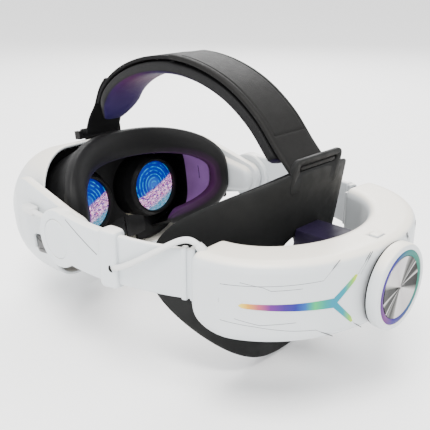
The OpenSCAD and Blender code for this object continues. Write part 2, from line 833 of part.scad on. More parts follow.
module knob_pinion() {
    color(silver) {
        ycyl(knob_face + 2.3, rack_y + 2.2, 0, knob_z, 3);
        ycyl(knob_face + 2.3, pack_back - 0.8, 0, knob_z, 3.45);
        translate([0, rack_y + 1.5, knob_z]) rotate([90, 0, 0]) linear_extrude(3) {
            circle(r = pinion_r - 1.2, $fn = 64);
            for (i = [0:15]) rotate(22.5 * i)
                polygon([[4.8, -0.75], [pinion_r + 0.55, -0.3], [pinion_r + 0.55, 0.3], [4.8, 0.75]]);
        }
    }
}

// ---------------------------------------------------------------- top strap

function strap_ring(line, s, depth, t, w, r, k = 4) =
    let(
        p = spline(line, s),
        d = spline_dir(line, s),
        n = [0, -d[1], d[0]] * (d[0] < 0 || d[1] > 0 ? -1 : 1)
    )
    put([0, p[0], p[1]] - n * (depth + t / 2), [-1, 0, 0], n, rrect(w, t, r, k));

function strap_span(s0, s1, step) = [for (i = [0:round((s1 - s0) / step)]) s0 + (s1 - s0) * i / round((s1 - s0) / step)];

module strap_cover() {
    color(black) loft([for (s = strap_span(4.05, 8.7, 0.35)) strap_ring(strap_line, s, 0, 4, 34, 1.6, 3)]);
}

module strap_pad() {
    color(violet) loft([
        for (s = strap_span(-0.2, 8.25, 0.35))
            let(e = s < 0.8 ? 1 - 0.35 * pow((0.8 - s) / 0.8, 2) : 1)
            strap_ring(strap_line, s, 4.3, 9 * e, 33 * e, 4 * e)
    ]);
}

// end of the cover, looped through the slot of the cradle's tab
module strap_loop() {
    color(black) translate([0, -126.6, 53.6]) rotate([8, 0, 0]) block([-16, -5, -1.3], [16, 4.4, 1.3]);
}

module webbing_tail() {
    color("#2b2c30") loft([for (s = strap_span(0.3, 3.95, 0.35)) strap_ring(strap_line, s, 1.6, 2.3, 30, 0.8, 2)]);
}

module front_webbing() {
    color("#2b2c30") loft([for (s = strap_span(0, 3, 0.4)) strap_ring(web_line, s, 0.8, 2, 30, 0.8, 2)]);
}

// -------------------------------------------------------------------- cable

module usb_plug() {
    color(white) difference() {
        union() {
            block([-89.4, plug_y - 6, 5.6], [-83.2, plug_y + 6, 11.4]);
            block([-84.4, plug_y - 3.3, 7.2], [-wing_in + 0.6, plug_y + 3.3, 9.4]);
        }
        tube([visor_cable[0] + [0, 0.2, 0], visor_cable[0], visor_cable[1]], cable_r, 8, 2);
    }
}

module cable_visor() {
    color(white) tube(visor_cable, cable_r);
}

module cable_arm() {
    color(white) tube(arm_cable, cable_r);
}

module cable_pack() {
    color(white) tube(pack_cable, cable_r);
}

module strain_relief() {
    color(white) difference() {
        tube([pack_cable[7], pack_cable[8], cable_end], cable_r + 1.2, 12, 2);
        tube([pack_cable[6], pack_cable[7], pack_cable[8], cable_end, 2 * cable_end - pack_cable[8]], cable_r + 0.2, 12, 2);
    }
}

module screws() {
    inner_back = pack_y - pack_b + pack_t;
    color(silver) for (z = [-12, 10]) ycyl(inner_back - 2.4, inner_back + 0.2, 0, z, 1.55);
}

// -------------------------------------------------------------------- nodes

front_shell();
bulkhead();
camera_window(-1);  // camera_window_left
camera_window(1);  // camera_window_right
front_cameras();
main_board();
visor_battery();
fan_frame();
fan_rotor();
speakers();
power_button();
volume_rocker();
charge_port();
audio_jack();
strap_anchor();
barrel(-ipd / 2);  // lens_barrel_left
lens(-ipd / 2);  // lens_left
display(-ipd / 2);  // display_left
ipd_rack(1);  // ipd_rack_left
barrel(ipd / 2);  // lens_barrel_right
lens(ipd / 2);  // lens_right
display(ipd / 2);  // display_right
ipd_rack(-1);  // ipd_rack_right
ipd_wheel();
face_frame();
face_cushion();
nose_flaps();
arm_left();
arm_right();
collar_left();
collar_right();
pivot_caps();
pivot_pins();
rack(-1);  // rack_left
rack(1);  // rack_right
pack_outer_shell();
pack_inner_shell();
battery_cells();
pack_board();
light_bars();
pack_button();
pack_port();
cradle_bracket();
cradle_shell();
cradle_pad();
knob_body();
knob_light_ring();
knob_cap();
knob_pinion();
strap_cover();
strap_pad();
strap_loop();
webbing_tail();
front_webbing();
usb_plug();
cable_visor();
cable_arm();
cable_pack();
strain_relief();
screws();
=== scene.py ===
import json
import math

import bmesh
import bpy
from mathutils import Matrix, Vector


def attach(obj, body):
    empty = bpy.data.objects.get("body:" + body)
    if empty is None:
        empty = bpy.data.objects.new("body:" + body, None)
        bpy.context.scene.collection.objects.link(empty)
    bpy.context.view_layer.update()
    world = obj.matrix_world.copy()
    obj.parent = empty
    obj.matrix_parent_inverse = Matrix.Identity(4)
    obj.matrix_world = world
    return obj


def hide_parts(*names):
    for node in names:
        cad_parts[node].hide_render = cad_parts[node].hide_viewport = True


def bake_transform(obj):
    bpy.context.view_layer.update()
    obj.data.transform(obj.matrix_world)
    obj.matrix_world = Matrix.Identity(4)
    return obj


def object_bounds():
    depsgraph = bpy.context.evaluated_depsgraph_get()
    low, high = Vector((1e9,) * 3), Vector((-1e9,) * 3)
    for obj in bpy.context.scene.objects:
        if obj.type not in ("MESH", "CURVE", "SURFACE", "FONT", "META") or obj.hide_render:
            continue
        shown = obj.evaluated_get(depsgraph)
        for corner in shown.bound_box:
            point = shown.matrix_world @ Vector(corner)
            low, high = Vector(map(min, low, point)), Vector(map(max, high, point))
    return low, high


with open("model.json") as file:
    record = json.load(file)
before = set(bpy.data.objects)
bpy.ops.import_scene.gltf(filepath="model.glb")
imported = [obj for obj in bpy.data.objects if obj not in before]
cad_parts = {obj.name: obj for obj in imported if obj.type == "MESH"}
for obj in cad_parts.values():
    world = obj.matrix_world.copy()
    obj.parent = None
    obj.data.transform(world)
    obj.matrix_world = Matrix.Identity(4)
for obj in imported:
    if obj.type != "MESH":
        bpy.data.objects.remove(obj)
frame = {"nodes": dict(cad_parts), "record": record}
cad_box = [list(map(float, corner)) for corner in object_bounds()]

MM = 0.001
PI = math.pi

# sizes shared with the CAD source, in millimetres
VISOR_W, VISOR_H, VISOR_FRONT, PITCH = 162, 94, 111.8, math.radians(8)
SHELL_Y0, SHELL_Z, RIM_Y, RIM_R = 20, -2, 62, 103
WING_IN, WING_OUT, PIVOT_Y, PLUG_Y = 77, 83, -4, 33
FACE_W, FACE_H, FACE_WRAP, FACE_Z, FACE_MID, CUSHION_T = 146, 85, 42, 6.5, 37, 12
FRAME_Y = 62.6
ARM_H, BOSS_R, BOSS_OUT, CAP_R, ARM_Z, LIP_Y, TONGUE_X = 29, 18.5, 92, 12.4, 2, -106, 69.7
ARM_PATH = [(87, 0), (93.5, -40), (89, -76), (73.2, LIP_Y)]
PACK_A, PACK_B, PACK_T, PACK_H, PACK_Y, PACK_Z = 83.4, 67.3, 27.5, 44.6, -109.6, -1
MID_A, MID_B = PACK_A - PACK_T / 2, PACK_B - PACK_T / 2
PACK_BACK = PACK_Y - PACK_B
KNOB_R, RING_R, KNOB_Z, KNOB_FACE = 24, 19, -2.8, -184.5
CRADLE_W, CRADLE_H, CRADLE_Z, CRADLE_WRAP, CRADLE_HOLE = 67, 62.3, -10.5, 56, 0.32
STRAP = [(57, 60), (47, 78), (29, 92), (4, 101.5), (-24, 105), (-51, 102), (-76, 93), (-97, 78.5),
    (-113, 61), (-123, 51)]
WEB = [(69, 40.5), (67.5, 46), (63.5, 54), (57, 62.5)]
ANCHOR_Y = 67.6
LENS_X, LENS_Z = 32, -5.9
WINDOW_AT = (29, -12)
BUTTON_AT, BUTTON_R = (26, 3), 4.1
JACK_AT, JACK_R = (48, -4), 1.77
CAMERA_AT, CAMERA_R = (44, 14), 6.1
CLEAR = 0.01                # radius that stands for a lathe's middle
ANCHOR_Z = 49.6
COVER_SPAN, COVER_W, COVER_T, GROOVE_X, GROOVE_END = (4.05, 8.98), 34, 4, 13.3, 7.6
PAD_SPAN, PAD_W, PAD_T, PAD_DEPTH = (-0.2, 8.25), 33, 8.9, 4.35
WEB_W, WEB_T, TAIL_T = 30, 1.6, 2.4
TAB_W, TAB_H, SLOT_W, SLOT_H, SLOT_Z = 44, 21, 34.5, 3.8, 53.6
LOOP_W, LOOP_AT, LOOP_TILT = 32, (-126.6, 53.6), math.radians(8)
BRACKET_HALF = 11
CABLE_R = 1.7
VISOR_CABLE = [(-87, 29, 8.5), (-87, 24, 8.3), (-87, 20, 8), (-87, 13, 8), (-87, 2, 8)]
PACK_CABLE = [
    (-91.5, -58.35, -1.5), (-92.2, -66, 1.5), (-91, -75, 6.5), (-88, -85, 13), (-83, -95, 20),
    (-79, -101, 23.5), (-76.5, -106, 24), (-75.2, -111, 21.5), (-75, -115, 17.5),
]

# ------------------------------------------------------------------ camera and light

CAMERA_PLACE, CAMERA_TARGET = (-0.2923, -0.3310, 0.1549), (0.0295, -0.0203, -0.0129)
CAMERA_ANGLE = math.radians(35.87)
WORLD_STRENGTH = 1.9

camera = bpy.data.objects.new("camera", bpy.data.cameras.new("camera"))
bpy.context.collection.objects.link(camera)
camera.location = CAMERA_PLACE
aim = Vector(CAMERA_TARGET) - camera.location
camera.rotation_euler = aim.to_track_quat("-Z", "Y").to_euler()
camera.data.sensor_width = 36
camera.data.angle = CAMERA_ANGLE
camera.data.clip_start = 0.01
bpy.context.scene.camera = camera


def area_light(name, place, target, size, power, colour=(1, 1, 1)):
    data = bpy.data.lights.new(name, "AREA")
    data.size, data.energy, data.color = size, power, colour
    lamp = bpy.data.objects.new(name, data)
    lamp.location = place
    lamp.rotation_euler = (Vector(target) - Vector(place)).to_track_quat("-Z", "Y").to_euler()
    bpy.context.collection.objects.link(lamp)


area_light("key", (-0.5, -0.35, 1.35), (0, 0, 0), 0.8, 42, (1, 0.985, 0.955))
area_light("fill", (-0.9, -1.1, 0.3), (0, -0.05, 0), 1.0, 8, (0.93, 0.97, 1))
area_light("rim", (0.9, 0.7, 0.8), (0, 0, 0), 0.8, 18)
area_light("side", (-1.2, 0.7, 0.3), (0, 0.05, 0), 0.7, 6)

world = bpy.data.worlds.new("studio")
bpy.context.scene.world = world
world.use_nodes = True
world.node_tree.nodes["Background"].inputs[0].default_value = (1, 1, 1, 1)
world.node_tree.nodes["Background"].inputs[1].default_value = WORLD_STRENGTH

# ------------------------------------------------------------------ materials


class Shade:
    """A node material under construction."""

    def __init__(self, name, rough=0.4, metallic=0.0, specular=0.5):
        self.material = bpy.data.materials.new(name)
        self.material.use_nodes = True
        self.tree = self.material.node_tree
        self.bsdf = self.tree.nodes["Principled BSDF"]
        self.bsdf.inputs["Roughness"].default_value = rough
        self.bsdf.inputs["Metallic"].default_value = metallic
        self.bsdf.inputs["Specular IOR Level"].default_value = specular
        self.place = self.node("ShaderNodeTexCoord").outputs["Object"]

    def node(self, kind, **values):
        n = self.tree.nodes.new(kind)
        for key, value in values.items():
            if key.startswith("in_"):
                n.inputs[int(key[3:])].default_value = value
            else:
                setattr(n, key, value)
        return n

    def link(self, a, b):
        self.tree.links.new(a, b)

    def math(self, operation, a, b=None):
        n = self.node("ShaderNodeMath", operation=operation)
        for socket, value in zip(n.inputs, (a, b)):
            if value is None:
                continue
            if isinstance(value, (int, float)):
                socket.default_value = value
            else:
                self.link(value, socket)
        return n.outputs[0]

    def axes(self, source=None):
        n = self.node("ShaderNodeSeparateXYZ")
        self.link(source or self.place, n.inputs[0])
        return n.outputs

    def ramp(self, factor, stops):
        n = self.node("ShaderNodeValToRGB")
        while len(n.color_ramp.elements) < len(stops):
            n.color_ramp.elements.new(1)
        for element, (at, colour) in zip(n.color_ramp.elements, stops):
            element.position = at
            element.color = (*colour, 1) if len(colour) == 3 else colour
        self.link(factor, n.inputs[0])
        return n.outputs[0]

    def mix(self, factor, a, b):
        n = self.node("ShaderNodeMix", data_type="RGBA")
        for socket, value in ((n.inputs[0], factor), (n.inputs[6], a), (n.inputs[7], b)):
            if isinstance(value, (int, float)):
                socket.default_value = value
            elif isinstance(value, tuple):
                socket.default_value = (*value, 1)
            else:
                self.link(value, socket)
        return n.outputs[2]

    def noise(self, scale, detail=3.0):
        n = self.node("ShaderNodeTexNoise")
        n.inputs["Scale"].default_value = scale
        n.inputs["Detail"].default_value = detail
        self.link(self.place, n.inputs["Vector"])
        return n.outputs[0]

    def smooth(self, value, lo, hi, a=0.0, b=1.0):
        n = self.node("ShaderNodeMapRange", interpolation_type="SMOOTHSTEP")
        self.link(value, n.inputs[0])
        for i, v in enumerate((lo, hi, a, b), 1):
            n.inputs[i].default_value = v
        return n.outputs[0]

    def colour(self, value):
        if isinstance(value, tuple):
            self.bsdf.inputs["Base Color"].default_value = (*value, 1)
        else:
            self.link(value, self.bsdf.inputs["Base Color"])

    def rough(self, value):
        self.link(value, self.bsdf.inputs["Roughness"])

    def bump(self, height, strength, distance=0.0002):
        n = self.node("ShaderNodeBump", in_0=strength, in_1=distance)
        self.link(height, n.inputs["Height"])
        self.link(n.outputs[0], self.bsdf.inputs["Normal"])


# colour with soft patches of itself, a little lighter and darker
def mottled(shade, colour, spread, scale):
    low = tuple(c * (1 - spread) for c in colour)
    high = tuple(min(1, c * (1 + spread)) for c in colour)
    return shade.ramp(shade.noise(scale), [(0.3, low), (0.7, high)])


def plastic(name, colour, rough=0.36, top=None, spread=0.02, strength=0.05, specular=0.5):
    s = Shade(name, rough, specular=specular)
    base = mottled(s, colour, spread, 60)
    # painted light from above: up-facing faces are mixed towards the top colour, so the top reads lighter
    # and warmer than the sides
    if top:
        up = s.axes(s.node("ShaderNodeNewGeometry").outputs["Normal"])[2]
        base = s.mix(s.smooth(up, 0.45, 0.9), base, top)
    s.colour(base)
    s.rough(s.smooth(s.noise(140), 0.3, 0.7, rough * 0.9, rough * 1.12))
    s.bump(s.noise(5400, 2), strength, 0.00006)
    return s.material


def leather(name, colour, rough=0.5, painted_light=None, grain=1500, strength=0.35):
    s = Shade(name, rough, specular=0.14)
    base = mottled(s, colour, 0.08, 120)
    # painted light mixed into the base colour: the pads' violet sheen or the screens' violet light on the
    # cushion
    if painted_light:
        base = painted_light(s, base)
    s.colour(base)
    cells = s.node("ShaderNodeTexVoronoi", feature="DISTANCE_TO_EDGE")
    cells.inputs["Scale"].default_value = grain
    s.link(s.place, cells.inputs["Vector"])
    s.rough(s.smooth(s.noise(250), 0.3, 0.7, rough * 0.97, rough * 1.04))
    s.bump(s.smooth(cells.outputs["Distance"], 0.0, 0.25), strength, 0.0001)
    return s.material


def woven(name, colour, pitch=0.0009, strength=0.5):
    s = Shade(name, 0.78, specular=0.12)
    x, y, z = s.axes()
    across = s.math("SINE", s.math("MULTIPLY", x, 2 * PI / pitch))
    along = s.math("SINE", s.math("MULTIPLY", s.math("ADD", y, z), 2 * PI / pitch))
    weave = s.math("MULTIPLY", across, along)
    low = tuple(c * 0.7 for c in colour)
    high = tuple(c * 1.35 for c in colour)
    base = s.mix(s.math("MULTIPLY", s.noise(90), 0.35),
        s.ramp(s.smooth(weave, -1, 1), [(0.0, low), (1.0, high)]), low)
    s.colour(base)
    s.bump(weave, strength, 0.00012)
    return s.material


def metal(name, colour, rough=0.28):
    s = Shade(name, rough, metallic=1.0)
    s.colour(mottled(s, colour, 0.06, 200))
    s.rough(s.smooth(s.noise(900), 0.3, 0.7, rough * 0.8, rough * 1.3))
    s.bump(s.noise(5000), 0.05, 0.00004)
    return s.material


def opening_glow(s, base):
    """Violet light on the faces that look into the opening: blue at its left, magenta at its right."""
    x, y, z = s.axes()
    normal = s.axes(s.node("ShaderNodeNewGeometry").outputs["Normal"])
    level = s.math("SUBTRACT", z, 0.003)
    inward = s.math("ADD", s.math("MULTIPLY", normal[0], s.math("MULTIPLY", x, -15.0)),
                    s.math("MULTIPLY", normal[2], s.math("MULTIPLY", level, -30.0)))
    face = s.smooth(inward, 0.25, 0.95)
    tone = s.ramp(s.smooth(x, -0.07, 0.075), [
        (0.0, (0.014, 0.011, 0.075)), (0.35, (0.02, 0.013, 0.085)), (0.62, (0.04, 0.01, 0.05)),
        (0.8, (0.045, 0.012, 0.06)), (1.0, (0.035, 0.006, 0.035)),
    ])
    return s.mix(s.math("MULTIPLY", face, 0.85), base, tone)


def pad_glow(s, base):
    """Painted violet sheen, a painted reflection, on the side of the pads that faces the head."""
    x, y, z = s.axes()
    normal = s.axes(s.node("ShaderNodeNewGeometry").outputs["Normal"])
    inward = s.math("ADD", s.math("MULTIPLY", normal[2], -1.0), s.math("MULTIPLY", normal[1], -0.25))
    face = s.smooth(inward, 0.3, 0.85)
    tone = s.ramp(s.smooth(y, -0.11, 0.06), [
        (0.0, (0.012, 0.006, 0.032)), (0.6, (0.014, 0.007, 0.04)), (0.83, (0.045, 0.009, 0.045)),
            (1.0, (0.012, 0.009, 0.06)),
    ])
    return s.mix(face, base, tone)


def lens_picture():
    """Abstract glowing picture: blue rings over streaks of pink and white."""
    s = Shade("lens_glow", 0.15, specular=0.06)
    x, y, z = s.axes()
    side = s.math("SUBTRACT", s.math("ABSOLUTE", x), LENS_X * MM)
    sign = s.math("SIGN", x)
    u = s.math("MULTIPLY", s.math("MULTIPLY", side, sign), 50)
    v = s.math("MULTIPLY", s.math("ADD", z, -LENS_Z * MM), 50)
    ring_u = s.math("ADD", u, 0.05)
    ring_v = s.math("SUBTRACT", v, 0.02)
    radius = s.math("SQRT", s.math("ADD", s.math("POWER", ring_u, 2), s.math("POWER", ring_v, 2)))
    wobble = s.math("MULTIPLY", s.noise(90, 2), 0.06)
    rings = s.math("SINE", s.math("MULTIPLY", s.math("ADD", radius, wobble), 46))
    sky = s.ramp(s.smooth(radius, 0.0, 1.0), [
        (0.0, (0.03, 0.16, 0.75)), (0.35, (0.002, 0.02, 0.42)), (0.7, (0.0, 0.04, 0.5)),
            (1.0, (0.0, 0.008, 0.3)),
    ])
    sky = s.mix(s.math("MULTIPLY", s.smooth(rings, 0.3, 0.95), s.smooth(s.noise(260, 3), 0.38, 0.62)), sky,
        (0.01, 0.42, 0.95))
    tilt = s.math("SUBTRACT", v, s.math("MULTIPLY", u, 0.38))
    streak_place = s.node("ShaderNodeCombineXYZ")
    s.link(s.math("ADD", s.math("MULTIPLY", u, 2.2), s.math("MULTIPLY", v, 0.8)), streak_place.inputs[0])
    s.link(s.math("MULTIPLY", tilt, 13), streak_place.inputs[1])
    streaks = s.node("ShaderNodeTexNoise")
    streaks.inputs["Scale"].default_value = 1.9
    streaks.inputs["Detail"].default_value = 3
    s.link(streak_place.outputs[0], streaks.inputs["Vector"])
    glow = s.ramp(streaks.outputs[0], [
        (0.34, (0.001, 0.002, 0.12)), (0.43, (0.06, 0.004, 0.45)), (0.475, (0.9, 0.015, 0.4)),
            (0.51, (2.6, 2.2, 2.8)),
        (0.545, (1.0, 0.03, 0.2)), (0.6, (0.01, 0.01, 0.4)), (0.68, (0.0, 0.25, 0.8)),
    ])
    low = s.mix(s.smooth(tilt, -0.85, -0.6, 0.8, 0.0), glow, (0.0, 0.42, 0.6))
    picture = s.mix(s.smooth(s.math("ADD", tilt, s.math("MULTIPLY", streaks.outputs[0], 0.35)), 0.02, 0.14),
        low, sky)
    s.colour((0.004, 0.004, 0.01))
    s.link(picture, s.bsdf.inputs["Emission Color"])
    s.bsdf.inputs["Emission Strength"].default_value = 1.0
    return s.material


def light_gradient():
    s = Shade("light_bar_glow", 0.4, specular=0.05)
    x, y, z = s.axes()
    place = s.smooth(s.math("ABSOLUTE", x), 0.027, 0.0765)
    place.node.interpolation_type = "LINEAR"
    tone = s.ramp(place, [
        (0.0, (1.3, 1.6, 0.08)), (0.06, (0.4, 1.1, 0.15)), (0.14, (0.0, 0.55, 0.7)),
            (0.27, (0.0, 0.5, 0.75)),
        (0.34, (0.0, 0.6, 0.55)), (0.44, (0.04, 1.0, 0.3)), (0.53, (0.0, 0.2, 0.8)),
            (0.61, (0.01, 0.015, 0.55)),
        (0.7, (0.09, 0.01, 0.5)), (0.8, (0.3, 0.015, 0.5)), (0.88, (1.1, 0.2, 0.3)),
            (0.94, (1.8, 0.8, 0.05)), (1.0, (2.2, 2.0, 0.3)),
    ])
    s.colour((0.02, 0.02, 0.02))
    s.link(tone, s.bsdf.inputs["Emission Color"])
    s.bsdf.inputs["Emission Strength"].default_value = 1.0
    s.bump(s.noise(2500), 0.04, 0.00005)
    return s.material


def around_knob(s):
    """Angle about the knob's axis, 0 to 1 from the wearer's left, anticlockwise as seen from behind."""
    x, y, z = s.axes()
    turn = s.math("ARCTAN2", s.math("ADD", z, -KNOB_Z * MM), x)
    return s.math("ADD", s.math("DIVIDE", turn, 2 * PI), 0.5)


def ring_gradient():
    s = Shade("knob_ring_glow", 0.4, specular=0.05)
    tone = s.ramp(around_knob(s), [
        (0.0, (0.14, 0.015, 0.4)), (0.12, (0.32, 0.03, 0.4)), (0.2, (0.06, 0.01, 0.5)),
            (0.32, (0.03, 0.1, 0.45)),
        (0.42, (0.02, 0.42, 0.3)), (0.6, (0.02, 0.45, 0.3)), (0.72, (0.02, 0.4, 0.4)),
            (0.82, (0.01, 0.015, 0.5)),
        (0.92, (0.05, 0.01, 0.5)), (1.0, (0.14, 0.015, 0.4)),
    ])
    s.colour((0.02, 0.02, 0.02))
    s.link(tone, s.bsdf.inputs["Emission Color"])
    s.bsdf.inputs["Emission Strength"].default_value = 0.8
    s.bump(s.noise(2500), 0.04, 0.00005)
    return s.material


def spun_disc():
    s = Shade("knob_spun_metal", 0.3, metallic=1.0, specular=0.08)
    # painted reflection: the bright and dark wedges round the knob, and the metallic that follows them,
    # stand in for the surroundings mirrored in spun metal; the lathe lines are the metal's own
    half = s.math("FRACT", s.math("MULTIPLY", around_knob(s), 2))
    reflection_dark, mid, reflection_bright = (0.004, 0.004, 0.004), (0.1, 0.1, 0.095), (0.4, 0.385, 0.385)
    tone = s.ramp(half, [
        (0.0, reflection_dark), (0.06, reflection_dark), (0.075, reflection_bright), (0.1, mid), (0.115, reflection_dark), (0.2, reflection_dark), (0.215, reflection_bright),
        (0.235, reflection_dark), (0.26, mid), (0.31, reflection_dark), (0.39, mid), (0.43, reflection_bright), (0.62, (0.34, 0.32, 0.325)),
        (0.86, reflection_bright), (0.9, mid), (0.93, reflection_dark), (1.0, reflection_dark),
    ])
    x, y, z = s.axes()
    radius = s.math("SQRT", s.math("ADD", s.math("POWER", x, 2),
        s.math("POWER", s.math("ADD", z, -KNOB_Z * MM), 2)))
    lathe = s.math("SINE", s.math("MULTIPLY", radius, 2 * PI / 0.00035))
    s.colour(tone)
    grey = s.node("ShaderNodeRGBToBW")
    s.link(tone, grey.inputs[0])
    s.link(s.smooth(grey.outputs[0], 0.01, 0.09), s.bsdf.inputs["Metallic"])
    s.rough(s.smooth(lathe, -1, 1, 0.26, 0.38))
    s.bump(lathe, 0.12, 0.00003)
    return s.material


# the top colours are painted light from above on up-facing faces, not a second colour of plastic
WHITE = plastic("white_shell", (0.50, 0.525, 0.54), 0.36, top=(0.66, 0.63, 0.57), specular=0.4)
ARM_WHITE = plastic("arm_white", (0.51, 0.54, 0.56), 0.36, top=(0.66, 0.65, 0.62), specular=0.4)
PACK_WHITE = plastic("pack_white", (0.49, 0.515, 0.53), 0.34, top=(0.74, 0.70, 0.62), specular=0.4)
BLACK = plastic("black_plastic", (0.004, 0.004, 0.0043), 0.5, spread=0.15, strength=0.2, specular=0.12)
SOFT_TOUCH = plastic("soft_touch_black", (0.0062, 0.0064, 0.0064), 0.6, spread=0.12, strength=0.3,
    specular=0.13)
WINDOW = plastic("window_black", (0.002, 0.002, 0.0025), 0.1, spread=0.2, strength=0.01, specular=0.3)
FINE_LINE = plastic("engraved_grey", (0.09, 0.095, 0.1), 0.6, spread=0.1, specular=0.1)
LILAC = plastic("lilac_liner", (0.27, 0.13, 0.36), 0.6, spread=0.1, strength=0.2, specular=0.1)
GREEN = plastic("board_green", (0.02, 0.12, 0.04), 0.45, spread=0.3)
CELL = plastic("cell_wrap", (0.03, 0.05, 0.1), 0.35, spread=0.2)
NYLON = plastic("nylon", (0.6, 0.56, 0.45), 0.5, spread=0.08)
RUBBER_WHITE = plastic("cable_rubber", (0.55, 0.555, 0.55), 0.42, spread=0.03, strength=0.15)
VIOLET = plastic("violet_bracket", (0.009, 0.006, 0.018), 0.45, spread=0.2, specular=0.15)
STEEL = metal("steel", (0.55, 0.56, 0.58))
STRAP_SKIN = leather("strap_leather", (0.0042, 0.004, 0.0038), 0.6)
PAD_SKIN = leather("pad_leather", (0.004, 0.004, 0.0044), 0.55, painted_light=pad_glow, grain=1900)
CUSHION_SKIN = leather("cushion_cover", (0.0038, 0.0038, 0.0041), 0.5, painted_light=opening_glow, grain=1700,
    strength=0.25)
CARRIER = plastic("carrier_black", (0.0035, 0.0035, 0.0037), 0.45, spread=0.15, strength=0.15,
    specular=0.14)
FLAP = leather("flap_rubber", (0.0036, 0.0036, 0.0039), 0.48, grain=1300, strength=0.15)
WEBBING = woven("webbing", (0.0045, 0.0045, 0.005))
LENS = lens_picture()
GLOW = light_gradient()
RING = ring_gradient()
DISC = spun_disc()

# ------------------------------------------------------------------ mesh helpers


WELD = 0.002


def piece(name, parts, material, body, replaces=(), sharp=38):
    """One object from (vertices in mm, faces) pairs, smooth but for edges sharper than the angle."""
    mesh = bpy.data.meshes.new(name)
    bm = bmesh.new()
    for verts, faces in parts:
        made = [bm.verts.new([c * MM for c in v]) for v in verts]
        for f in faces:
            bm.faces.new([made[i] for i in f])
    bmesh.ops.remove_doubles(bm, verts=bm.verts, dist=WELD * MM)
    bmesh.ops.dissolve_degenerate(bm, dist=1e-7, edges=bm.edges)
    bmesh.ops.recalc_face_normals(bm, faces=bm.faces)
    for face in bm.faces:
        face.smooth = True
    for edge in bm.edges:
        edge.smooth = len(edge.link_faces) != 2 or edge.calc_face_angle(0) < math.radians(sharp)
    bm.to_mesh(mesh)
    bm.free()
    obj = bpy.data.objects.new(name, mesh)
    bpy.context.collection.objects.link(obj)
    mesh.materials.append(material)
    if body:
        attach(obj, body)
    if replaces:
        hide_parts(*replaces)
    return obj


# skin over rings that have the same number of points
def loft(rings, closed=False):
    n, m = len(rings[0]), len(rings)
    faces = []
    for j in range(m if closed else m - 1):
        k = (j + 1) % m
        for i in range(n):
            e = (i + 1) % n
            faces.append((j * n + i, j * n + e, k * n + e, k * n + i))
    if not closed:
        faces += [tuple(range(n - 1, -1, -1)), tuple((m - 1) * n + i for i in range(n))]
    return [v for r in rings for v in r], faces


def rrect(w, h, r, k=7, flats=3):
    """Rounded rectangle, anticlockwise, with extra points on the flats."""
    corners = []
    for c in range(4):
        sx, sy = (1, -1)[c in (1, 2)], (1, -1)[c > 1]
        corners.append([(sx * (w / 2 - r) + r * math.cos(math.radians(90 * c + 90 * i / (k - 1))),
                         sy * (h / 2 - r) + r * math.sin(math.radians(90 * c + 90 * i / (k - 1))))
                             for i in range(k)])
    out = []
    for c in range(4):
        a, b = corners[c][-1], corners[(c + 1) % 4][0]
        out += corners[c]
        for f in [(i + 1) / (flats + 1) for i in range(flats)]:
            f = 0.5 - 0.5 * math.cos(PI * f)
            out.append((a[0] + (b[0] - a[0]) * f, a[1] + (b[1] - a[1]) * f))
    return out


def superpoint(a, b, e, degrees):
    c, s = math.cos(math.radians(degrees)), math.sin(math.radians(degrees))
    return (a * math.copysign(abs(c) ** (2 / e), c), b * math.copysign(abs(s) ** (2 / e), s))


# flat outline put on a plane through o with axes u and v
def put(o, u, v, pts):
    return [tuple(o[i] + p[0] * u[i] + p[1] * v[i] for i in range(3)) for p in pts]


def unit(v):
    return tuple(Vector(v).normalized())


def bezier(p, t):
    q = 1 - t
    at = [q ** 3 * p[0][i] + 3 * t * q * q * p[1][i] + 3 * t * t * q * p[2][i] + t ** 3 * p[3][i]
        for i in (0, 1)]
    d = [q * q * (p[1][i] - p[0][i]) + 2 * t * q * (p[2][i] - p[1][i]) + t * t * (p[3][i] - p[2][i])
        for i in (0, 1)]
    size = math.hypot(*d)
    return at, (d[0] / size, d[1] / size)


def spline(p, s):
    n = len(p) - 1
    i = max(0, min(int(s), n - 1))
    t = s - i
    b, c = p[i], p[i + 1]
    a = p[i - 1] if i > 0 else [2 * x - y for x, y in zip(b, c)]
    d = p[i + 2] if i < n - 1 else [2 * x - y for x, y in zip(c, b)]
    return tuple(0.5 * (2 * b[k] + (c[k] - a[k]) * t + (2 * a[k] - 5 * b[k] + 4 * c[k] - d[k]) * t * t
                        + (3 * b[k] - a[k] - 3 * c[k] + d[k]) * t ** 3) for k in range(len(b)))


def spline_dir(p, s):
    n = len(p) - 1
    a, b = spline(p, s - 0.02), spline(p, min(n, s + 0.02))
    size = math.dist(a, b)
    return tuple((y - x) / size for x, y in zip(a, b))


def steps(a, b, n):
    return [a + (b - a) * i / n for i in range(n + 1)]


def tube(path, radius, n=20):
    """Round tube along points; radius is a number or one per point."""
    rings, up = [], Vector((0.2, 0, 1))
    for j, p in enumerate(path):
        d = (Vector(path[min(j + 1, len(path) - 1)]) - Vector(path[max(j - 1, 0)])).normalized()
        u = d.cross(up).normalized()
        v = d.cross(u)
        r = radius[j] if isinstance(radius, list) else radius
        turns = [2 * PI * i / n for i in range(n)]
        rings.append([tuple(Vector(p) + r * (math.cos(a) * u + math.sin(a) * v)) for a in turns])
    return loft(rings)


def lathe(profile, centre, axis="y", n=128):
    """Closed profile of (radius, place along the axis), turned about the axis through centre."""
    rings = []
    for i in range(n):
        a = 2 * PI * i / n
        c, s = math.cos(a), math.sin(a)
        if axis == "y":
            rings.append([(centre[0] + r * c, at, centre[1] + r * s) for r, at in profile])
        else:
            rings.append([(at, centre[0] + r * c, centre[1] + r * s) for r, at in profile])
    return loft(rings, closed=True)


# profile of a plain rod for a lathe
def rod(r, start, end):
    return [(CLEAR, start), (r, start), (r, end), (CLEAR, end)]


# turns a part with the visor, down against the straps
def pitched(part):
    verts, faces = part
    c, s = math.cos(PITCH), math.sin(PITCH)
    return [(x, y * c + z * s, -y * s + z * c) for x, y, z in verts], faces


def mirrored(part):
    verts, faces = part
    return [(-x, y, z) for x, y, z in verts], [tuple(reversed(f)) for f in faces]


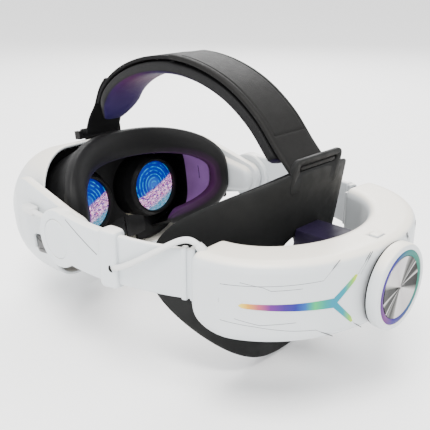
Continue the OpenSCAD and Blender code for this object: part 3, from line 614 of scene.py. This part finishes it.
def slab(outline, heights, place):
    """Plate with rounded edges, from a convex anticlockwise outline and heights of (inset, level)."""
    n = len(outline)
    normals = []
    for i in range(n):
        a, b = outline[i - 1], outline[(i + 1) % n]
        dx, dy = b[0] - a[0], b[1] - a[1]
        size = math.hypot(dx, dy) or 1
        normals.append((dy / size, -dx / size))
    return loft([[place(p[0] - q[0] * inset, p[1] - q[1] * inset, level) for p, q in zip(outline, normals)]
                 for inset, level in heights])


def hull2(points):
    pts = sorted(set(points))

    def half(seq):
        out = []
        for p in seq:
            while len(out) > 1 and ((out[-1][0] - out[-2][0]) * (p[1] - out[-2][1])
                                    - (out[-1][1] - out[-2][1]) * (p[0] - out[-2][0])) <= 0:
                out.pop()
            out.append(p)
        return out[:-1]

    return half(pts) + half(reversed(pts))


def disc(cx, cy, r, n=48):
    return [(cx + r * math.cos(2 * PI * i / n), cy + r * math.sin(2 * PI * i / n)) for i in range(n)]


def box_part(a, b, bevel=0.0):
    """Box between two corners, with its edges rounded in plan and section."""
    w, d = b[0] - a[0], b[1] - a[1]
    if not bevel:
        ring = [(a[0], a[1]), (b[0], a[1]), (b[0], b[1]), (a[0], b[1])]
        return loft([[(x, y, z) for x, y in ring] for z in (a[2], b[2])])
    outline = [(x + (a[0] + b[0]) / 2, y + (a[1] + b[1]) / 2) for x,
        y in rrect(w, d, min(bevel * 1.4, w / 2.05, d / 2.05), 5, 1)]
    levels = [(bevel * (1 - math.sin(t)), a[2] + bevel * (1 - math.cos(t))) for t in steps(0, PI / 2, 4)]
    levels += [(bevel * (1 - math.cos(t)), b[2] - bevel * (1 - math.sin(t))) for t in steps(0, PI / 2, 4)]
    return slab(outline, levels, lambda p, q, z: (p, q, z))


def cut(target, parts):
    """Cuts the parts out of an object."""
    knife = piece(target.name + "_knife", parts, BLACK, None)
    modifier = target.modifiers.new("cut", "BOOLEAN")
    modifier.operation, modifier.solver, modifier.object = "DIFFERENCE", "EXACT", knife
    bpy.context.view_layer.objects.active = target
    bpy.ops.object.modifier_apply(modifier=modifier.name)
    bpy.data.objects.remove(knife)


# ------------------------------------------------------------------ visor


# from 1 at t = 0 to 0 at t = 1
def falloff(t, e):
    return (1 - t ** e) ** (1 / e)


def body_point(i, t, inset):
    w = (VISOR_W / 2 - inset) * falloff(t, 3)
    h = (VISOR_H / 2 - inset) * falloff(t, 3.6)
    p = rrect(2 * w, 2 * h, 0.92 * min(w, h), 26, 2)[i]
    return (-p[0], SHELL_Y0 + (VISOR_FRONT - SHELL_Y0 - inset) * t, SHELL_Z + p[1])


def rim_at(x):
    return RIM_Y - RIM_R + math.sqrt(RIM_R ** 2 - x * x)


# how far forward the housing starts at point i, found by halving
def rim_t(i, inset, back):
    lo, hi = 0.0, 0.95
    for _ in range(22):
        mid = (lo + hi) / 2
        x, y, z = body_point(i, mid, inset)
        lo, hi = (mid, hi) if y < rim_at(x) + back else (lo, mid)
    return hi


n_body = len(rrect(10, 10, 1, 26, 2))
rows = []
for inset, back, stretch in ((2.4, 1.2, True), (2.0, 0.3, False), (1.3, 0.0, False), (0.6, 0.3, False),
    (0.15, 1.0, False), (0, 2.0, True)):
    starts = [rim_t(i, inset, back) for i in range(n_body)]
    row = [body_point(i, starts[i], inset) for i in range(n_body)]
    if not stretch:
        rows.append(row)
        continue
    more = [[body_point(i, starts[i] + (0.9985 - starts[i]) * math.sin(PI / 2 * s), inset)
        for i in range(n_body)]
            for s in (steps(0, 1, 22)[1:] if inset == 0 else steps(0, 1, 8)[1:])]
    rows += [row] + more if inset == 0 else list(reversed(more)) + [row]
housing = pitched(loft(rows))
shell = piece("visor_housing", [housing], WHITE, "visor", ["front_shell"], sharp=50)
for side in (-1, 1):
    cut(shell, [pitched(lathe(rod(CAMERA_R, 95, 116), (side * CAMERA_AT[0], CAMERA_AT[1]), n=64))])
for low, high in (((-12.5, 71.6, -60), (12.5, 76.4, -35)), ((9.8, 83.8, -60), (26.2, 88.2, -35)),
    ((-12, 66, 40), (12, 69.2, 50))):
    cut(shell, [pitched(box_part(low, high))])

wing_outline = hull2(disc(-7, 2, 11.5, 64) + disc(44, 14, 12, 64) + disc(44, -10, 12, 64))
wing_levels = [(1.2, WING_IN), (0.3, WING_IN + 0.4), (0, WING_IN + 1.2), (0, WING_OUT - 1.5),
               (0.2, WING_OUT - 0.85), (0.65, WING_OUT - 0.3), (1.3, WING_OUT)]
for side, tag in ((-1, "left"), (1, "right")):
    wing = piece("wing_" + tag, [slab(wing_outline, wing_levels, lambda p, q, x: (side * x, p, q))], WHITE,
        "visor", sharp=42)
    window_hole = slab([(a + WINDOW_AT[0], b + WINDOW_AT[1]) for a, b in rrect(20.4, 13.4, 3, 7, 0)],
        [(0, WING_OUT - 2.3), (-0.2, WING_OUT - 0.6), (-1.2, WING_OUT + 1)],
                       lambda p, q, x: (side * x, p, q))
    knives = [pitched(window_hole)]
    if side > 0:
        knives += [lathe(rod(JACK_R, 75, 86), JACK_AT, "x", 32),
                   lathe(rod(BUTTON_R, 78, 86), BUTTON_AT, "x", 64)]
    cut(wing, knives)
    window = slab([(a + WINDOW_AT[0], b + WINDOW_AT[1]) for a, b in rrect(19.6, 12.6, 2.8, 7, 0)],
                  [(0.6, WING_OUT - 2.2), (0, WING_OUT - 2.0), (0, WING_OUT - 1.5), (0.5, WING_OUT - 1.1),
                      (3.2, WING_OUT - 0.95)],
                  lambda p, q, x: (side * x, p, q))
    eye = lathe([(CLEAR, side * (WING_OUT - 1.4)), (2.6, side * (WING_OUT - 1.4)),
        (2.4, side * (WING_OUT - 0.8)), (CLEAR, side * (WING_OUT - 0.55))], WINDOW_AT, "x", 48)
    piece("tracking_window_" + tag, [pitched(window), pitched(eye)], WINDOW, "visor",
        ["camera_window_" + tag])

inner_cover = hull2(disc(-5, 1.5, 9.8, 48) + disc(50, 13.5, 7, 48) + disc(50, -12, 7, 48))
cover_levels = [(5.5, 71.2), (3.2, 71.5), (1.4, 72.6), (0.4, 74.4), (0, 77.4)]
for side, tag in ((-1, "left"), (1, "right")):
    piece("wing_lining_" + tag, [slab(inner_cover, cover_levels, lambda p, q, x: (side * x, p, q))], WHITE,
        "visor", sharp=50)

# ------------------------------------------------------------------ face interface


def face_curve(x):
    return FACE_MID - FACE_WRAP * (x / (FACE_W / 2)) ** 2


def face_angles(limit, n):
    """Angles round the interface that leave out the gap for the nose."""
    return steps(-90 + limit, 270 - limit, n)


def cushion_ring(angle, grow, k=26):
    px, pz = superpoint(1, 1, 2.5, angle)
    up = max(0, pz)
    width = 15 + 5.5 * up * up
    d = unit((px * FACE_H / 2, 0, pz * FACE_W / 2))
    o = (px * FACE_W / 2 - d[0] * width / 2, FACE_Z + pz * FACE_H / 2 - d[2] * width / 2)
    w, t = width * grow, (CUSHION_T - 0.4) * grow
    section = []
    for i in range(k):
        a = 2 * PI * i / k
        c, s = math.cos(a), math.sin(a)
        u = w / 2 * math.copysign(abs(c) ** 0.72, c)
        v = t / 2 * math.copysign(abs(s) ** (0.8 if s > 0 else 0.55), s)
        v += 0.35 * grow * math.exp(-(u / (0.3 * w)) ** 2) * (1 if s > 0 else 0) - (0.45
            if abs(abs(u) - 0.37 * w) < 0.05 * w and s > 0 else 0)
        section.append((u, v))
    return put((o[0], face_curve(o[0]) + CUSHION_T / 2, o[1]), d, (0, -1, 0), section)


angles = face_angles(22, 150)
grow = [min(1, 0.25 + 0.75 * math.sin(min(1, min(i, len(angles) - 1 - i) / 5) * PI / 2))
    for i in range(len(angles))]
cushion = piece("face_cushion_soft", [pitched(loft([cushion_ring(a, g) for a, g in zip(angles, grow)]))],
                CUSHION_SKIN, "visor", ["face_cushion"], sharp=60)


def carrier_point(angle, s, inset):
    w = 71 + s * (FACE_W / 2 - 3.5 - 71) - inset
    h = 39 + s * (FACE_H / 2 - 2.5 - 39) - inset
    ridge = 0.5 * math.sin(PI * s) ** 2 * math.sin(5 * PI * s) if inset < 1 else 0
    x, z = superpoint(w - abs(ridge), h - abs(ridge), 2.5, angle)
    return (x, FRAME_Y + s * (face_curve(0.94 * x) + CUSHION_T + 0.6 - FRAME_Y), -1 + s * (FACE_Z + 1) + z)


carrier_angles = face_angles(26, 150)
carrier = [[carrier_point(a, s, 0) for s in steps(0, 1, 16)] + [carrier_point(a, s, 2.2)
    for s in reversed(steps(0.01, 1, 10))]
           for a in carrier_angles]
piece("face_carrier", [pitched(loft(carrier))], CARRIER, "visor", ["face_frame"], sharp=50)

for side, tag in ((-1, "left"), (1, "right")):
    liner_rows = []
    for a in steps(-42, 42, 24):
        angle = a if side > 0 else 180 - a
        span = 0.12 + 0.5 * math.cos(math.radians(a) * 2.0) ** 0.7 if abs(a) < 44 else 0.12
        span = max(0.13, min(0.62, span))
        outer = [carrier_point(angle, s, 2.5) for s in steps(0.92 - span, 0.92, 8)]
        inner = [carrier_point(angle, s, 3.3) for s in reversed(steps(0.92 - span, 0.92, 8))]
        liner_rows.append(outer + inner)
    piece("side_liner_" + tag, [pitched(loft(liner_rows))], LILAC, "visor", sharp=50)
    slot_rows = []
    for a in (-4, -2, 0, 2, 4, 6):
        angle = a if side > 0 else 180 - a
        slot_rows.append([carrier_point(angle, s, d) for s,
            d in ((0.66, 3.35), (0.675, 3.35), (0.675, 3.0), (0.66, 3.0))])
    piece("liner_slot_" + tag, [pitched(loft(slot_rows))], BLACK, "visor")

flaps = []
for side in (-1, 1):
    rows = []
    for f in steps(0, 1, 10):
        x = side * (0.7 + 15 * f)
        y = FACE_MID + 13.5 - 3.5 * f * f
        top, bottom = -17 - 3 * f * f, -33 - 4 * f + 6 * f * f
        thick = 0.8
        rows.append([(x, y + thick / 2, top), (x, y + thick / 2, (top + bottom) / 2),
            (x, y + thick / 2, bottom),
                     (x, y, bottom - 0.3), (x, y - thick / 2, bottom),
                         (x, y - thick / 2 - 0.6, (top + bottom) / 2),
                     (x, y - thick / 2, top), (x, y, top + 0.3)])
    flaps.append(pitched(loft(rows)))
piece("nose_flap_pair", flaps, FLAP, "visor", ["nose_flaps"], sharp=60)

# ------------------------------------------------------------------ arms


def arm_thick(t):
    return 6.4 if t < 0.4 else 3.4 if t > 0.62 else 6.4 - 3 * (t - 0.4) / 0.22


def arm_ring(t, dt=0.0, dh=0.0, round_r=1.6):
    at, d = bezier(ARM_PATH, t)
    th, h = arm_thick(t) + dt, ARM_H + 3 * (1 - t) ** 2 + dh
    return put((-at[0], at[1], ARM_Z + 2 * t), (-d[1], -d[0], 0), (0, 0, 1),
        rrect(th, h, min(round_r, th / 2 - 0.1), 6, 2))


def boss_profile():
    x0, x1, r = WING_OUT + 0.5, BOSS_OUT, BOSS_R
    edge = [(r - 1.4 + 1.4 * math.sin(t), -(x1 - 1.4 + 1.4 * math.cos(t))) for t in steps(PI / 2, 0, 6)]
    return [(4.3, -x0), (r - 0.8, -x0), (r, -x0 - 0.8)] + edge + [(CAP_R + 0.5, -x1), (CAP_R, -x1 + 0.5),
        (CAP_R, -x1 + 1.6), (4.3, -x1 + 1.6)]


def arm_parts():
    band = loft([arm_ring(t) for t in steps(0.06, 1, 56)])
    lips = []
    for a, b in ((0.925, 0.952), (0.972, 1.0)):
        lips.append(loft([arm_ring(t, dt, dt) for t,
            dt in ((a, -0.2), (a, 1.2), (a + 0.004, 1.6), (b - 0.004, 1.6), (b, 1.2), (b, -0.2))]))
    root = box_part((-TONGUE_X - 4, LIP_Y + 0.5, ARM_Z - 8), (-TONGUE_X + 1, LIP_Y + 3.5, ARM_Z + 12))
    tongue = box_part((-TONGUE_X - 1, -134, ARM_Z - 8), (-TONGUE_X + 1, LIP_Y + 2, ARM_Z + 12), 0.6)
    return [band, lathe(boss_profile(), (PIVOT_Y, 0), "x", 128), root, tongue] + lips


def collar_part():
    t0, t1 = 0.43, 0.545
    stations = [(t0, -0.3), (t0, 2.6), (t0 + 0.004, 3.4), (t0 + 0.012, 4.2)]
    stations += [(t, 4.6 + 0.5 * math.sin(PI * (t - t0) / (t1 - t0)))
        for t in steps(t0 + 0.02, t1 - 0.018, 6)]
    stations += [(t1 - 0.01, 4.2), (t1 - 0.003, 3.4), (t1, 2.6), (t1, -0.3)]
    return loft([arm_ring(t, e, e, 2.4) for t, e in stations])


def cap_part():
    x = -BOSS_OUT
    return lathe([(CLEAR, x + 1.5), (CAP_R - 0.35, x + 1.5), (CAP_R - 0.15, x + 1.2),
        (CAP_R - 0.15, x + 0.3), (CAP_R - 0.5, x - 0.1),
                  (CAP_R - 1.1, x - 0.2), (CLEAR, x - 0.2)], (PIVOT_Y, 0), "x", 96)


def seam_part():
    rows = []
    for f in steps(0, 1, 12):
        t = 0.135 + 0.265 * f
        at, d = bezier(ARM_PATH, t)
        out = arm_thick(t) / 2
        n = (-d[1], -d[0])
        o = (-at[0] - abs(n[0]) * (out - 0.2), at[1], ARM_Z + 14 - 13 * f)
        rows.append(put(o, (-1, 0, 0), (0, 0, 1), [(0.28, 0.3), (0.28, -0.3), (-0.3, -0.3), (-0.3, 0.3)]))
    return loft(rows)


piece("arm_shell_left", arm_parts(), ARM_WHITE, "side_arms", ["arm_left"], sharp=42)
piece("arm_shell_right", [mirrored(p) for p in arm_parts()], ARM_WHITE, "side_arms",
    ["arm_right"], sharp=42)
piece("arm_seams", [seam_part(), mirrored(seam_part())], FINE_LINE, "side_arms")
piece("collar_clip_left", [collar_part()], ARM_WHITE, "side_arms", ["collar_left"], sharp=50)
piece("collar_clip_right", [mirrored(collar_part())], ARM_WHITE, "side_arms", ["collar_right"],
    sharp=50)
piece("pivot_discs", [cap_part(), mirrored(cap_part())], ARM_WHITE, "side_arms",
    ["pivot_caps"], sharp=50)

# ------------------------------------------------------------------ pack


def arc_left(th):
    return (90 - abs(th)) * MID_B * PI / 180


def pack_ring(th, t0, t1, h, r, inset=0.0):
    a = math.radians(th)
    n = unit((MID_B * math.sin(a), -MID_A * math.cos(a), 0))
    s = arc_left(th)
    lift = 0 if s >= 19 else 0.8 * (19 - math.sqrt(max(0, 19 * 19 - (19 - s) ** 2)))
    mid = (t0 + t1) / 2
    o = (MID_A * math.sin(a) + mid * n[0], PACK_Y - MID_B * math.cos(a) + mid * n[1], PACK_Z + lift / 2)
    return put(o, n, (0, 0, 1), rrect(t1 - t0 - 2 * inset, h - lift - 2 * inset, max(0.4, r - inset * 0.6),
        9, 4))


def end_inset(th, r=5):
    s = arc_left(th)
    return 0 if s >= r else r - math.sqrt(max(0, r * r - (r - s) ** 2))


end_angles = [0, 0.12, 0.3, 0.6, 1.0, 1.5, 2.1, 2.8, 3.6, 4.5, 5.4, 7, 9, 11.5, 14, 17, 20]
pack_angles = [-90 + a for a in end_angles] + steps(-68, 68, 68) + [90 - a for a in reversed(end_angles)]
pack_shell = piece("pack_body", [loft([pack_ring(a, -PACK_T / 2, PACK_T / 2, PACK_H, 6, end_inset(a))
    for a in pack_angles])],
                   PACK_WHITE, "rear_pack", ["pack_outer_shell", "pack_inner_shell"],
                       sharp=50)
inner = loft([pack_ring(a, -PACK_T / 2 + 2.4, PACK_T / 2 - 2.2, PACK_H - 4.4, 4)
    for a in steps(-87, 87, 40)])
slot_l = box_part((-TONGUE_X - 1.3, PACK_Y - 12, ARM_Z - 8.3), (-TONGUE_X + 1.3, PACK_Y + 3, ARM_Z + 12.3))
button_hole = box_part((-1.8, -169, 15), (5.8, -163, 25))
cut(pack_shell, [inner])
cut(pack_shell, [slot_l])
cut(pack_shell, [mirrored(slot_l)])
cut(pack_shell, [button_hole])
piece("pack_key_cap", [box_part((-1.5, -168.7, 16.8), (5.5, -163.3, 22.3), 0.7)], PACK_WHITE, "pack_key",
    ["pack_button"])


def strip(a0, a1, t0, t1, z0, z1, w0, w1, n=12, tip=False):
    rows = []
    for j in range(n + 1):
        f = j / n
        a = math.radians(a0 + f * (a1 - a0))
        out = unit((MID_B * math.sin(a), -MID_A * math.cos(a), 0))
        w = w0 + f * (w1 - w0)
        if tip:
            w *= min(1, math.sqrt(max(0.02, 1 - max(0, (f * n - n + 1.5) / 1.5) ** 2)))
        o = (MID_A * math.sin(a), PACK_Y - MID_B * math.cos(a), z0 + f * (z1 - z0))
        rows.append(put(o, out, (0, 0, 1), [(t1 - 0.15, w / 2), (t0, w / 2), (t0, -w / 2),
            (t1 - 0.15, -w / 2), (t1, -w / 2 + 0.25), (t1, w / 2 - 0.25)]))
    return loft(rows)


T = PACK_T / 2
bars = [strip(-28.5, -66.4, T - 0.8, T + 0.3, -2.4, -1.3, 5.2, 2.4, 30, True),
        strip(-29.0, -19.3, T - 0.8, T + 0.28, -1.9, 10.2, 4.9, 3.2, 12, True),
        strip(-29.0, -20.0, T - 0.8, T + 0.28, -2.9, -15.5, 4.9, 3.2, 12, True)]
piece("light_bar_lens", bars + [mirrored(b) for b in bars], GLOW, "rear_pack", ["light_bars"],
    sharp=30)

lines = [((-74, 9), (-62, 9.6), (-48, 10.2), (-34, 11), (-27.6, 20.6)),
    ((-74, -11), (-60, -12.5), (-46, -15), (-36, -16), (-28.6, -21.5)),
         ((-18.8, 10.6), (-13.3, 20.4)), ((-17.6, 10.2), (-12.2, 20.4)), ((-19.3, -17), (-15, -21.5)),
             ((-74.7, 1.2), (-74.7, -1.4)),
         ((-66, 11.2), (-57, 9.2), (-54, 7.4), (-42, 8.0)),
             ((-68, -9), (-58, -11.6), (-52, -11.0), (-44, -10.4))]
engraving = []
for line in lines:
    for (a0, z0), (a1, z1) in zip(line, line[1:]):
        if a0 == a1:
            a1 += 0.3
        engraving.append(strip(a0, a1, T - 0.3, T + 0.05, z0, z1, 0.6, 0.6, max(2, int(abs(a1 - a0) / 2))))
piece("pack_engraving", engraving + [mirrored(e) for e in engraving], FINE_LINE, "rear_pack")

# ------------------------------------------------------------------ knob

b = PACK_BACK
drum = [(3.6, b - 0.35), (KNOB_R - 1.6, b - 0.35), (KNOB_R - 1.6, b - 0.75), (KNOB_R - 0.4, b - 0.8),
    (KNOB_R, b - 1.3), (KNOB_R, b - 3.5), (KNOB_R, b - 5.6),
        (KNOB_R - 0.25, b - 6.6), (KNOB_R - 0.9, KNOB_FACE + 0.25), (KNOB_R - 1.7, KNOB_FACE),
            (RING_R + 1.9, KNOB_FACE),
        (RING_R + 1.65, KNOB_FACE + 0.3), (RING_R + 1.65, KNOB_FACE + 2.2), (3.6, KNOB_FACE + 2.2)]
gasket = [(3.7, b - 0.05), (KNOB_R - 0.4, b - 0.05), (KNOB_R - 0.4, b - 0.7), (3.7, b - 0.7)]
piece("knob_gasket", [lathe(gasket, (0, KNOB_Z))], BLACK, "knob")
piece("knob_drum", [lathe(drum, (0, KNOB_Z))], PACK_WHITE, "knob", ["knob_body"], sharp=40)
ring = [(RING_R - 1.5, KNOB_FACE + 2.1), (RING_R - 1.5, KNOB_FACE + 0.5), (RING_R - 1.1, KNOB_FACE + 0.25),
    (RING_R, KNOB_FACE + 0.1),
        (RING_R + 1.1, KNOB_FACE + 0.25), (RING_R + 1.5, KNOB_FACE + 0.5), (RING_R + 1.5, KNOB_FACE + 2.1)]
piece("knob_ring_lens", [lathe(ring, (0, KNOB_Z))], RING, "knob", ["knob_light_ring"],
    sharp=50)
face = [(CLEAR, KNOB_FACE + 2.1), (RING_R - 1.6, KNOB_FACE + 2.1), (RING_R - 1.6, KNOB_FACE + 0.5),
    (RING_R - 1.9, KNOB_FACE + 0.2), (RING_R - 2.6, KNOB_FACE + 0.3),
        (12, KNOB_FACE + 0.6), (6, KNOB_FACE + 0.75), (1.5, KNOB_FACE + 0.8), (1.0, KNOB_FACE + 0.5),
            (CLEAR, KNOB_FACE + 0.4)]
piece("knob_disc", [lathe(face, (0, KNOB_Z))], DISC, "knob", ["knob_cap"], sharp=50)

# ------------------------------------------------------------------ cradle


def cradle_y(x, z):
    return -128 + CRADLE_WRAP * (abs(x) / CRADLE_W) ** 4 + 0.16 * (52 - z)


def cradle_ring(s, off, n=128):
    out = []
    for i in range(n):
        a = 360 * (i + 0.5) / n
        x, z = superpoint(CRADLE_W * s, CRADLE_H * s, 2.8 if a < 180 else 2.0, a)
        out.append((-x, cradle_y(x, CRADLE_Z + z) + off, CRADLE_Z + z))
    return out


hole = CRADLE_HOLE + 0.03
back = [(hole + 0.004, 0.5), (hole + 0.012, 0.1)] + [(s, 0)
    for s in steps(hole + 0.04, 0.96, 14)] + [(0.985, 0.15), (0.996, 0.6)]
front = [(1.0, 1.5), (0.996, 2.3), (0.985, 2.85)] + [(s, 3)
    for s in steps(0.96, hole + 0.04, 14)] + [(hole + 0.012, 2.8), (hole, 1.5)]
piece("cradle_plate", [loft([cradle_ring(s, off) for s, off in back + front], closed=True)], SOFT_TOUCH,
    "rear_pack",
      ["cradle_shell"], sharp=60)
tab_shape = rrect(TAB_W, TAB_H, 4.5, 9, 4)
tab = slab([(a, c + 48.5) for a, c in tab_shape],
    [(0.7, 0.1), (0.2, 0.25), (0, 0.7), (0, 2.2), (0.2, 2.7), (0.7, 2.9)],
           lambda p, q, d: (p, -128 + 0.16 * (52 - q) + d, q))
tab = piece("cradle_tab", [tab], SOFT_TOUCH, "rear_pack", sharp=50)
cut(tab, [slab([(a, c + SLOT_Z) for a, c in rrect(SLOT_W, SLOT_H, 1.4, 7, 2)], [(0, -4), (0, 7)], lambda p,
    q, d: (p, -127.8 + 0.16 * (52 - q) + d, q))])
pad_rows = []
for f in steps(0, 1, 26):
    s = CRADLE_HOLE + (0.97 - CRADLE_HOLE) * (1 - math.cos(PI * f)) / 2
    pad_rows.append((s, 3.9 + 8.1 * max(0.0,
        math.sin(PI * f)) ** 0.35 * (0.93 + 0.07 * math.cos(6 * PI * f))))
under = [(s, 3.9) for s in steps(0.955, CRADLE_HOLE + 0.02, 12)]
pad = piece("cradle_cushion", [loft([cradle_ring(s, off, 110) for s, off in pad_rows[:-1] + under],
    closed=True)], PAD_SKIN, "rear_pack",
            ["cradle_pad"], sharp=70)


def prism(outline, x0, x1, bevel):
    levels = [(bevel, x0), (bevel * 0.3, x0 + bevel * 0.3), (0, x0 + bevel), (0, x1 - bevel),
        (bevel * 0.3, x1 - bevel * 0.3), (bevel, x1)]
    return slab(outline, levels, lambda p, q, x: (x, p, q))


def front_at(z):
    return cradle_y(0, z) - 0.1


rear = PACK_BACK + PACK_T + 1.4
bracket = [(rear, -19), (front_at(-34) - 8, -34), (front_at(-34), -34), (front_at(16), 16), (rear, 16)]
piece("cradle_mount_block", [prism(bracket, -BRACKET_HALF, BRACKET_HALF, 0.8)], VIOLET, "rear_pack",
    ["cradle_bracket"], sharp=30)

# ------------------------------------------------------------------ top strap


def strap_frame(line, s):
    p, d = spline(line, s), spline_dir(line, s)
    flip = -1 if d[0] < 0 or d[1] > 0 else 1
    return p, (0, -d[1] * flip, d[0] * flip)


def strap_ring(line, s, depth, t, w, r=0.0, section=None):
    p, n = strap_frame(line, s)
    o = (0, p[0] - n[1] * (depth + t / 2), p[1] - n[2] * (depth + t / 2))
    return put(o, (-1, 0, 0), n, section or rrect(w, t, r, 6, 4))


def cover_section(s, w=COVER_W, t=COVER_T):
    """Cross-section of the cover, with a pressed line along each edge and across its rear end."""
    xs = steps(-w / 2, w / 2, 68)
    top = []
    for x in xs:
        e = abs(x) / (w / 2)
        z = t / 2 * (1 - e ** 14) ** 0.5 if e < 1 else 0
        along = math.exp(-((abs(x) - GROOVE_X) / 0.42) ** 2) if 4.35 < s < GROOVE_END + 0.02 else 0
        across = math.exp(-((s - GROOVE_END) / 0.03) ** 2) if abs(x) < GROOVE_X else 0
        top.append((x, z - 0.6 * max(along, across)))
    bottom = [(x, -t / 2 * (1 - (abs(x) / (w / 2)) ** 14) ** 0.5) for x in (-16.6, -14, -8, 0, 8, 14, 16.6)]
    return top + list(reversed(bottom))


cover = [strap_ring(STRAP, s, 0, COVER_T, COVER_W, section=cover_section(s))
    for s in steps(*COVER_SPAN, 200)]
piece("strap_cover_skin", [loft(cover)], STRAP_SKIN, "rear_pack", ["strap_cover"],
    sharp=45)


def pad_section(w, t):
    out = []
    for i in range(44):
        a = 2 * PI * i / 44
        c, s = math.cos(a), math.sin(a)
        u = w / 2 * math.copysign(abs(c) ** 0.55, c)
        v = t / 2 * math.copysign(abs(s) ** (0.42 if s > 0 else 0.62), s)
        if s < 0:
            v -= 0.25 * math.exp(-(u / (0.3 * w)) ** 2)
        out.append((u, v))
    return out


pad_rows = []
for s in [PAD_SPAN[0], -0.19, -0.16, -0.1, -0.03, 0.06, 0.18, 0.34, 0.55, 0.78] + steps(1.0, 8.0,
    90) + [8.1, 8.17, 8.22, PAD_SPAN[1]]:
    e = 1 if s > 0.7 else 0.5 + 0.5 * math.sin(PI / 2 * (s - PAD_SPAN[0]) / 0.9)
    e *= 1 if s < 8.0 else 1 - 0.45 * ((s - 8.0) / 0.25) ** 2
    pad_rows.append(strap_ring(STRAP, s, PAD_DEPTH, PAD_T * e, PAD_W * e,
        section=pad_section(PAD_W * e, PAD_T * e)))
strap_pad = piece("strap_cushion", [loft(pad_rows)], PAD_SKIN, "rear_pack", ["strap_pad"],
    sharp=60)
loop_outline = [(a, q + 1.6) for a, q in rrect(LOOP_W, 5.4, 1.2, 5, 2)]
loop_c, loop_s = math.cos(LOOP_TILT), math.sin(LOOP_TILT)
loop = slab(loop_outline, [(0.5, -1.25), (0, -0.8), (0, 0.8), (0.5, 1.25)],
            lambda p, q, h: (p, LOOP_AT[0] + (q - 0.3) * loop_c - h * loop_s,
                LOOP_AT[1] + (q - 0.3) * loop_s + h * loop_c))
piece("strap_end_loop", [loop], STRAP_SKIN, "rear_pack", ["strap_loop"])
tail = [strap_ring(STRAP, s, 1.4, TAIL_T, WEB_W, 0.7) for s in steps(0.3, 3.97, 80)]
piece("strap_web_tail", [loft(tail)], WEBBING, "rear_pack", ["webbing_tail"], sharp=50)
web_rows = [strap_ring(WEB, s, 0.8, WEB_T, WEB_W, 0.6) for s in steps(0, 2.9, 40)]
web_rows += [strap_ring(STRAP, s, -0.3, WEB_T - 0.1, WEB_W, 0.6) for s in steps(0.15, 1.3, 20)]
web = piece("front_web_band", [loft(web_rows)], WEBBING, None, ["front_webbing"], sharp=50)
wrap = [(CLEAR, -15), (2.2, -15), (2.5, -14.6), (2.5, 14.6), (2.2, 15), (CLEAR, 15)]
foot = box_part((-18.6, ANCHOR_Y - 1.7, 45.6), (18.6, ANCHOR_Y + 1.7, 49.4))
piece("web_wrap", [pitched(lathe(wrap, (ANCHOR_Y, ANCHOR_Z), "x", 40)), pitched(foot)], WEBBING, "visor",
    sharp=50)
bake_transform(web)

# ------------------------------------------------------------------ plug and cable

plug = [box_part((-89.4, PLUG_Y - 6, 5.6), (-83.2, PLUG_Y + 6, 11.4), 1.4)]
piece("plug_overmould", plug, RUBBER_WHITE, "visor", ["usb_plug"])
stub_path = [spline(VISOR_CABLE, s) for s in steps(0, 4, 24)]
stub = piece("cable_stub", [tube(stub_path, CABLE_R)], RUBBER_WHITE, None,
    ["cable_visor", "cable_arm"], sharp=60)
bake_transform(stub)
path = [spline(PACK_CABLE, s) for s in steps(0, 8, 34)]
cable = piece("battery_cable", [tube(path, CABLE_R, 24)], RUBBER_WHITE, None, ["cable_pack"],
    sharp=60)
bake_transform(cable)
relief_path = [spline(PACK_CABLE, s) for s in steps(6.75, 8, 22)]
relief_r = [CABLE_R + 0.5 + 0.7 * min(1, j / 14) + 0.14 * math.cos(j * 2.1)
    for j in range(len(relief_path))]
piece("cable_boot", [tube(relief_path, relief_r, 24)], RUBBER_WHITE, "rear_pack",
    ["strain_relief"], sharp=60)
grommet_path = [spline(PACK_CABLE, s) for s in steps(0, 0.12, 3)]
piece("cable_grommet", [tube(grommet_path, 2.7, 32)], BLACK, "side_arms")

# ------------------------------------------------------------------ CAD nodes that stay

STAY = {
    "visor_white": WHITE, "board_green": GREEN, "cell_blue": CELL, "black_plastic": BLACK,
        "window_black": WINDOW, "lens_clear": LENS,
    "display_face": WINDOW, "cushion_black": CUSHION_SKIN, "flap_rubber": FLAP, "arm_white": ARM_WHITE,
        "pack_white": PACK_WHITE,
    "pack_cream": PACK_WHITE, "light_pipe": GLOW, "nylon": NYLON, "steel": STEEL, "knob_metal": DISC,
        "violet_plastic": VIOLET,
    "pad_violet": PAD_SKIN, "strap_leather": STRAP_SKIN, "webbing": WEBBING, "cable_white": RUBBER_WHITE,
}
for entry in frame["record"]["subparts"]:
    node = frame["nodes"][entry["node"]]
    for index in range(max(1, len(node.material_slots))):
        if not node.material_slots:
            node.data.materials.append(STAY[entry["material_slot"]])
        else:
            node.material_slots[index].material = STAY[entry["material_slot"]]

# ------------------------------------------------------------------ floor

FLOOR_GAP, FLOOR_HALF = 0.0012, 6
floor_z = cad_box[0][2] - FLOOR_GAP
floor = bpy.data.meshes.new("floor")
corners = [(x * FLOOR_HALF, y * FLOOR_HALF, floor_z) for x, y in ((-1, -1), (1, -1), (1, 1), (-1, 1))]
floor.from_pydata(corners, [], [(0, 1, 2, 3)])
floor_object = bpy.data.objects.new("floor", floor)
bpy.context.collection.objects.link(floor_object)
floor.materials.append(plastic("floor_paper", (0.93, 0.93, 0.93), 0.8, spread=0.004, strength=0.02))
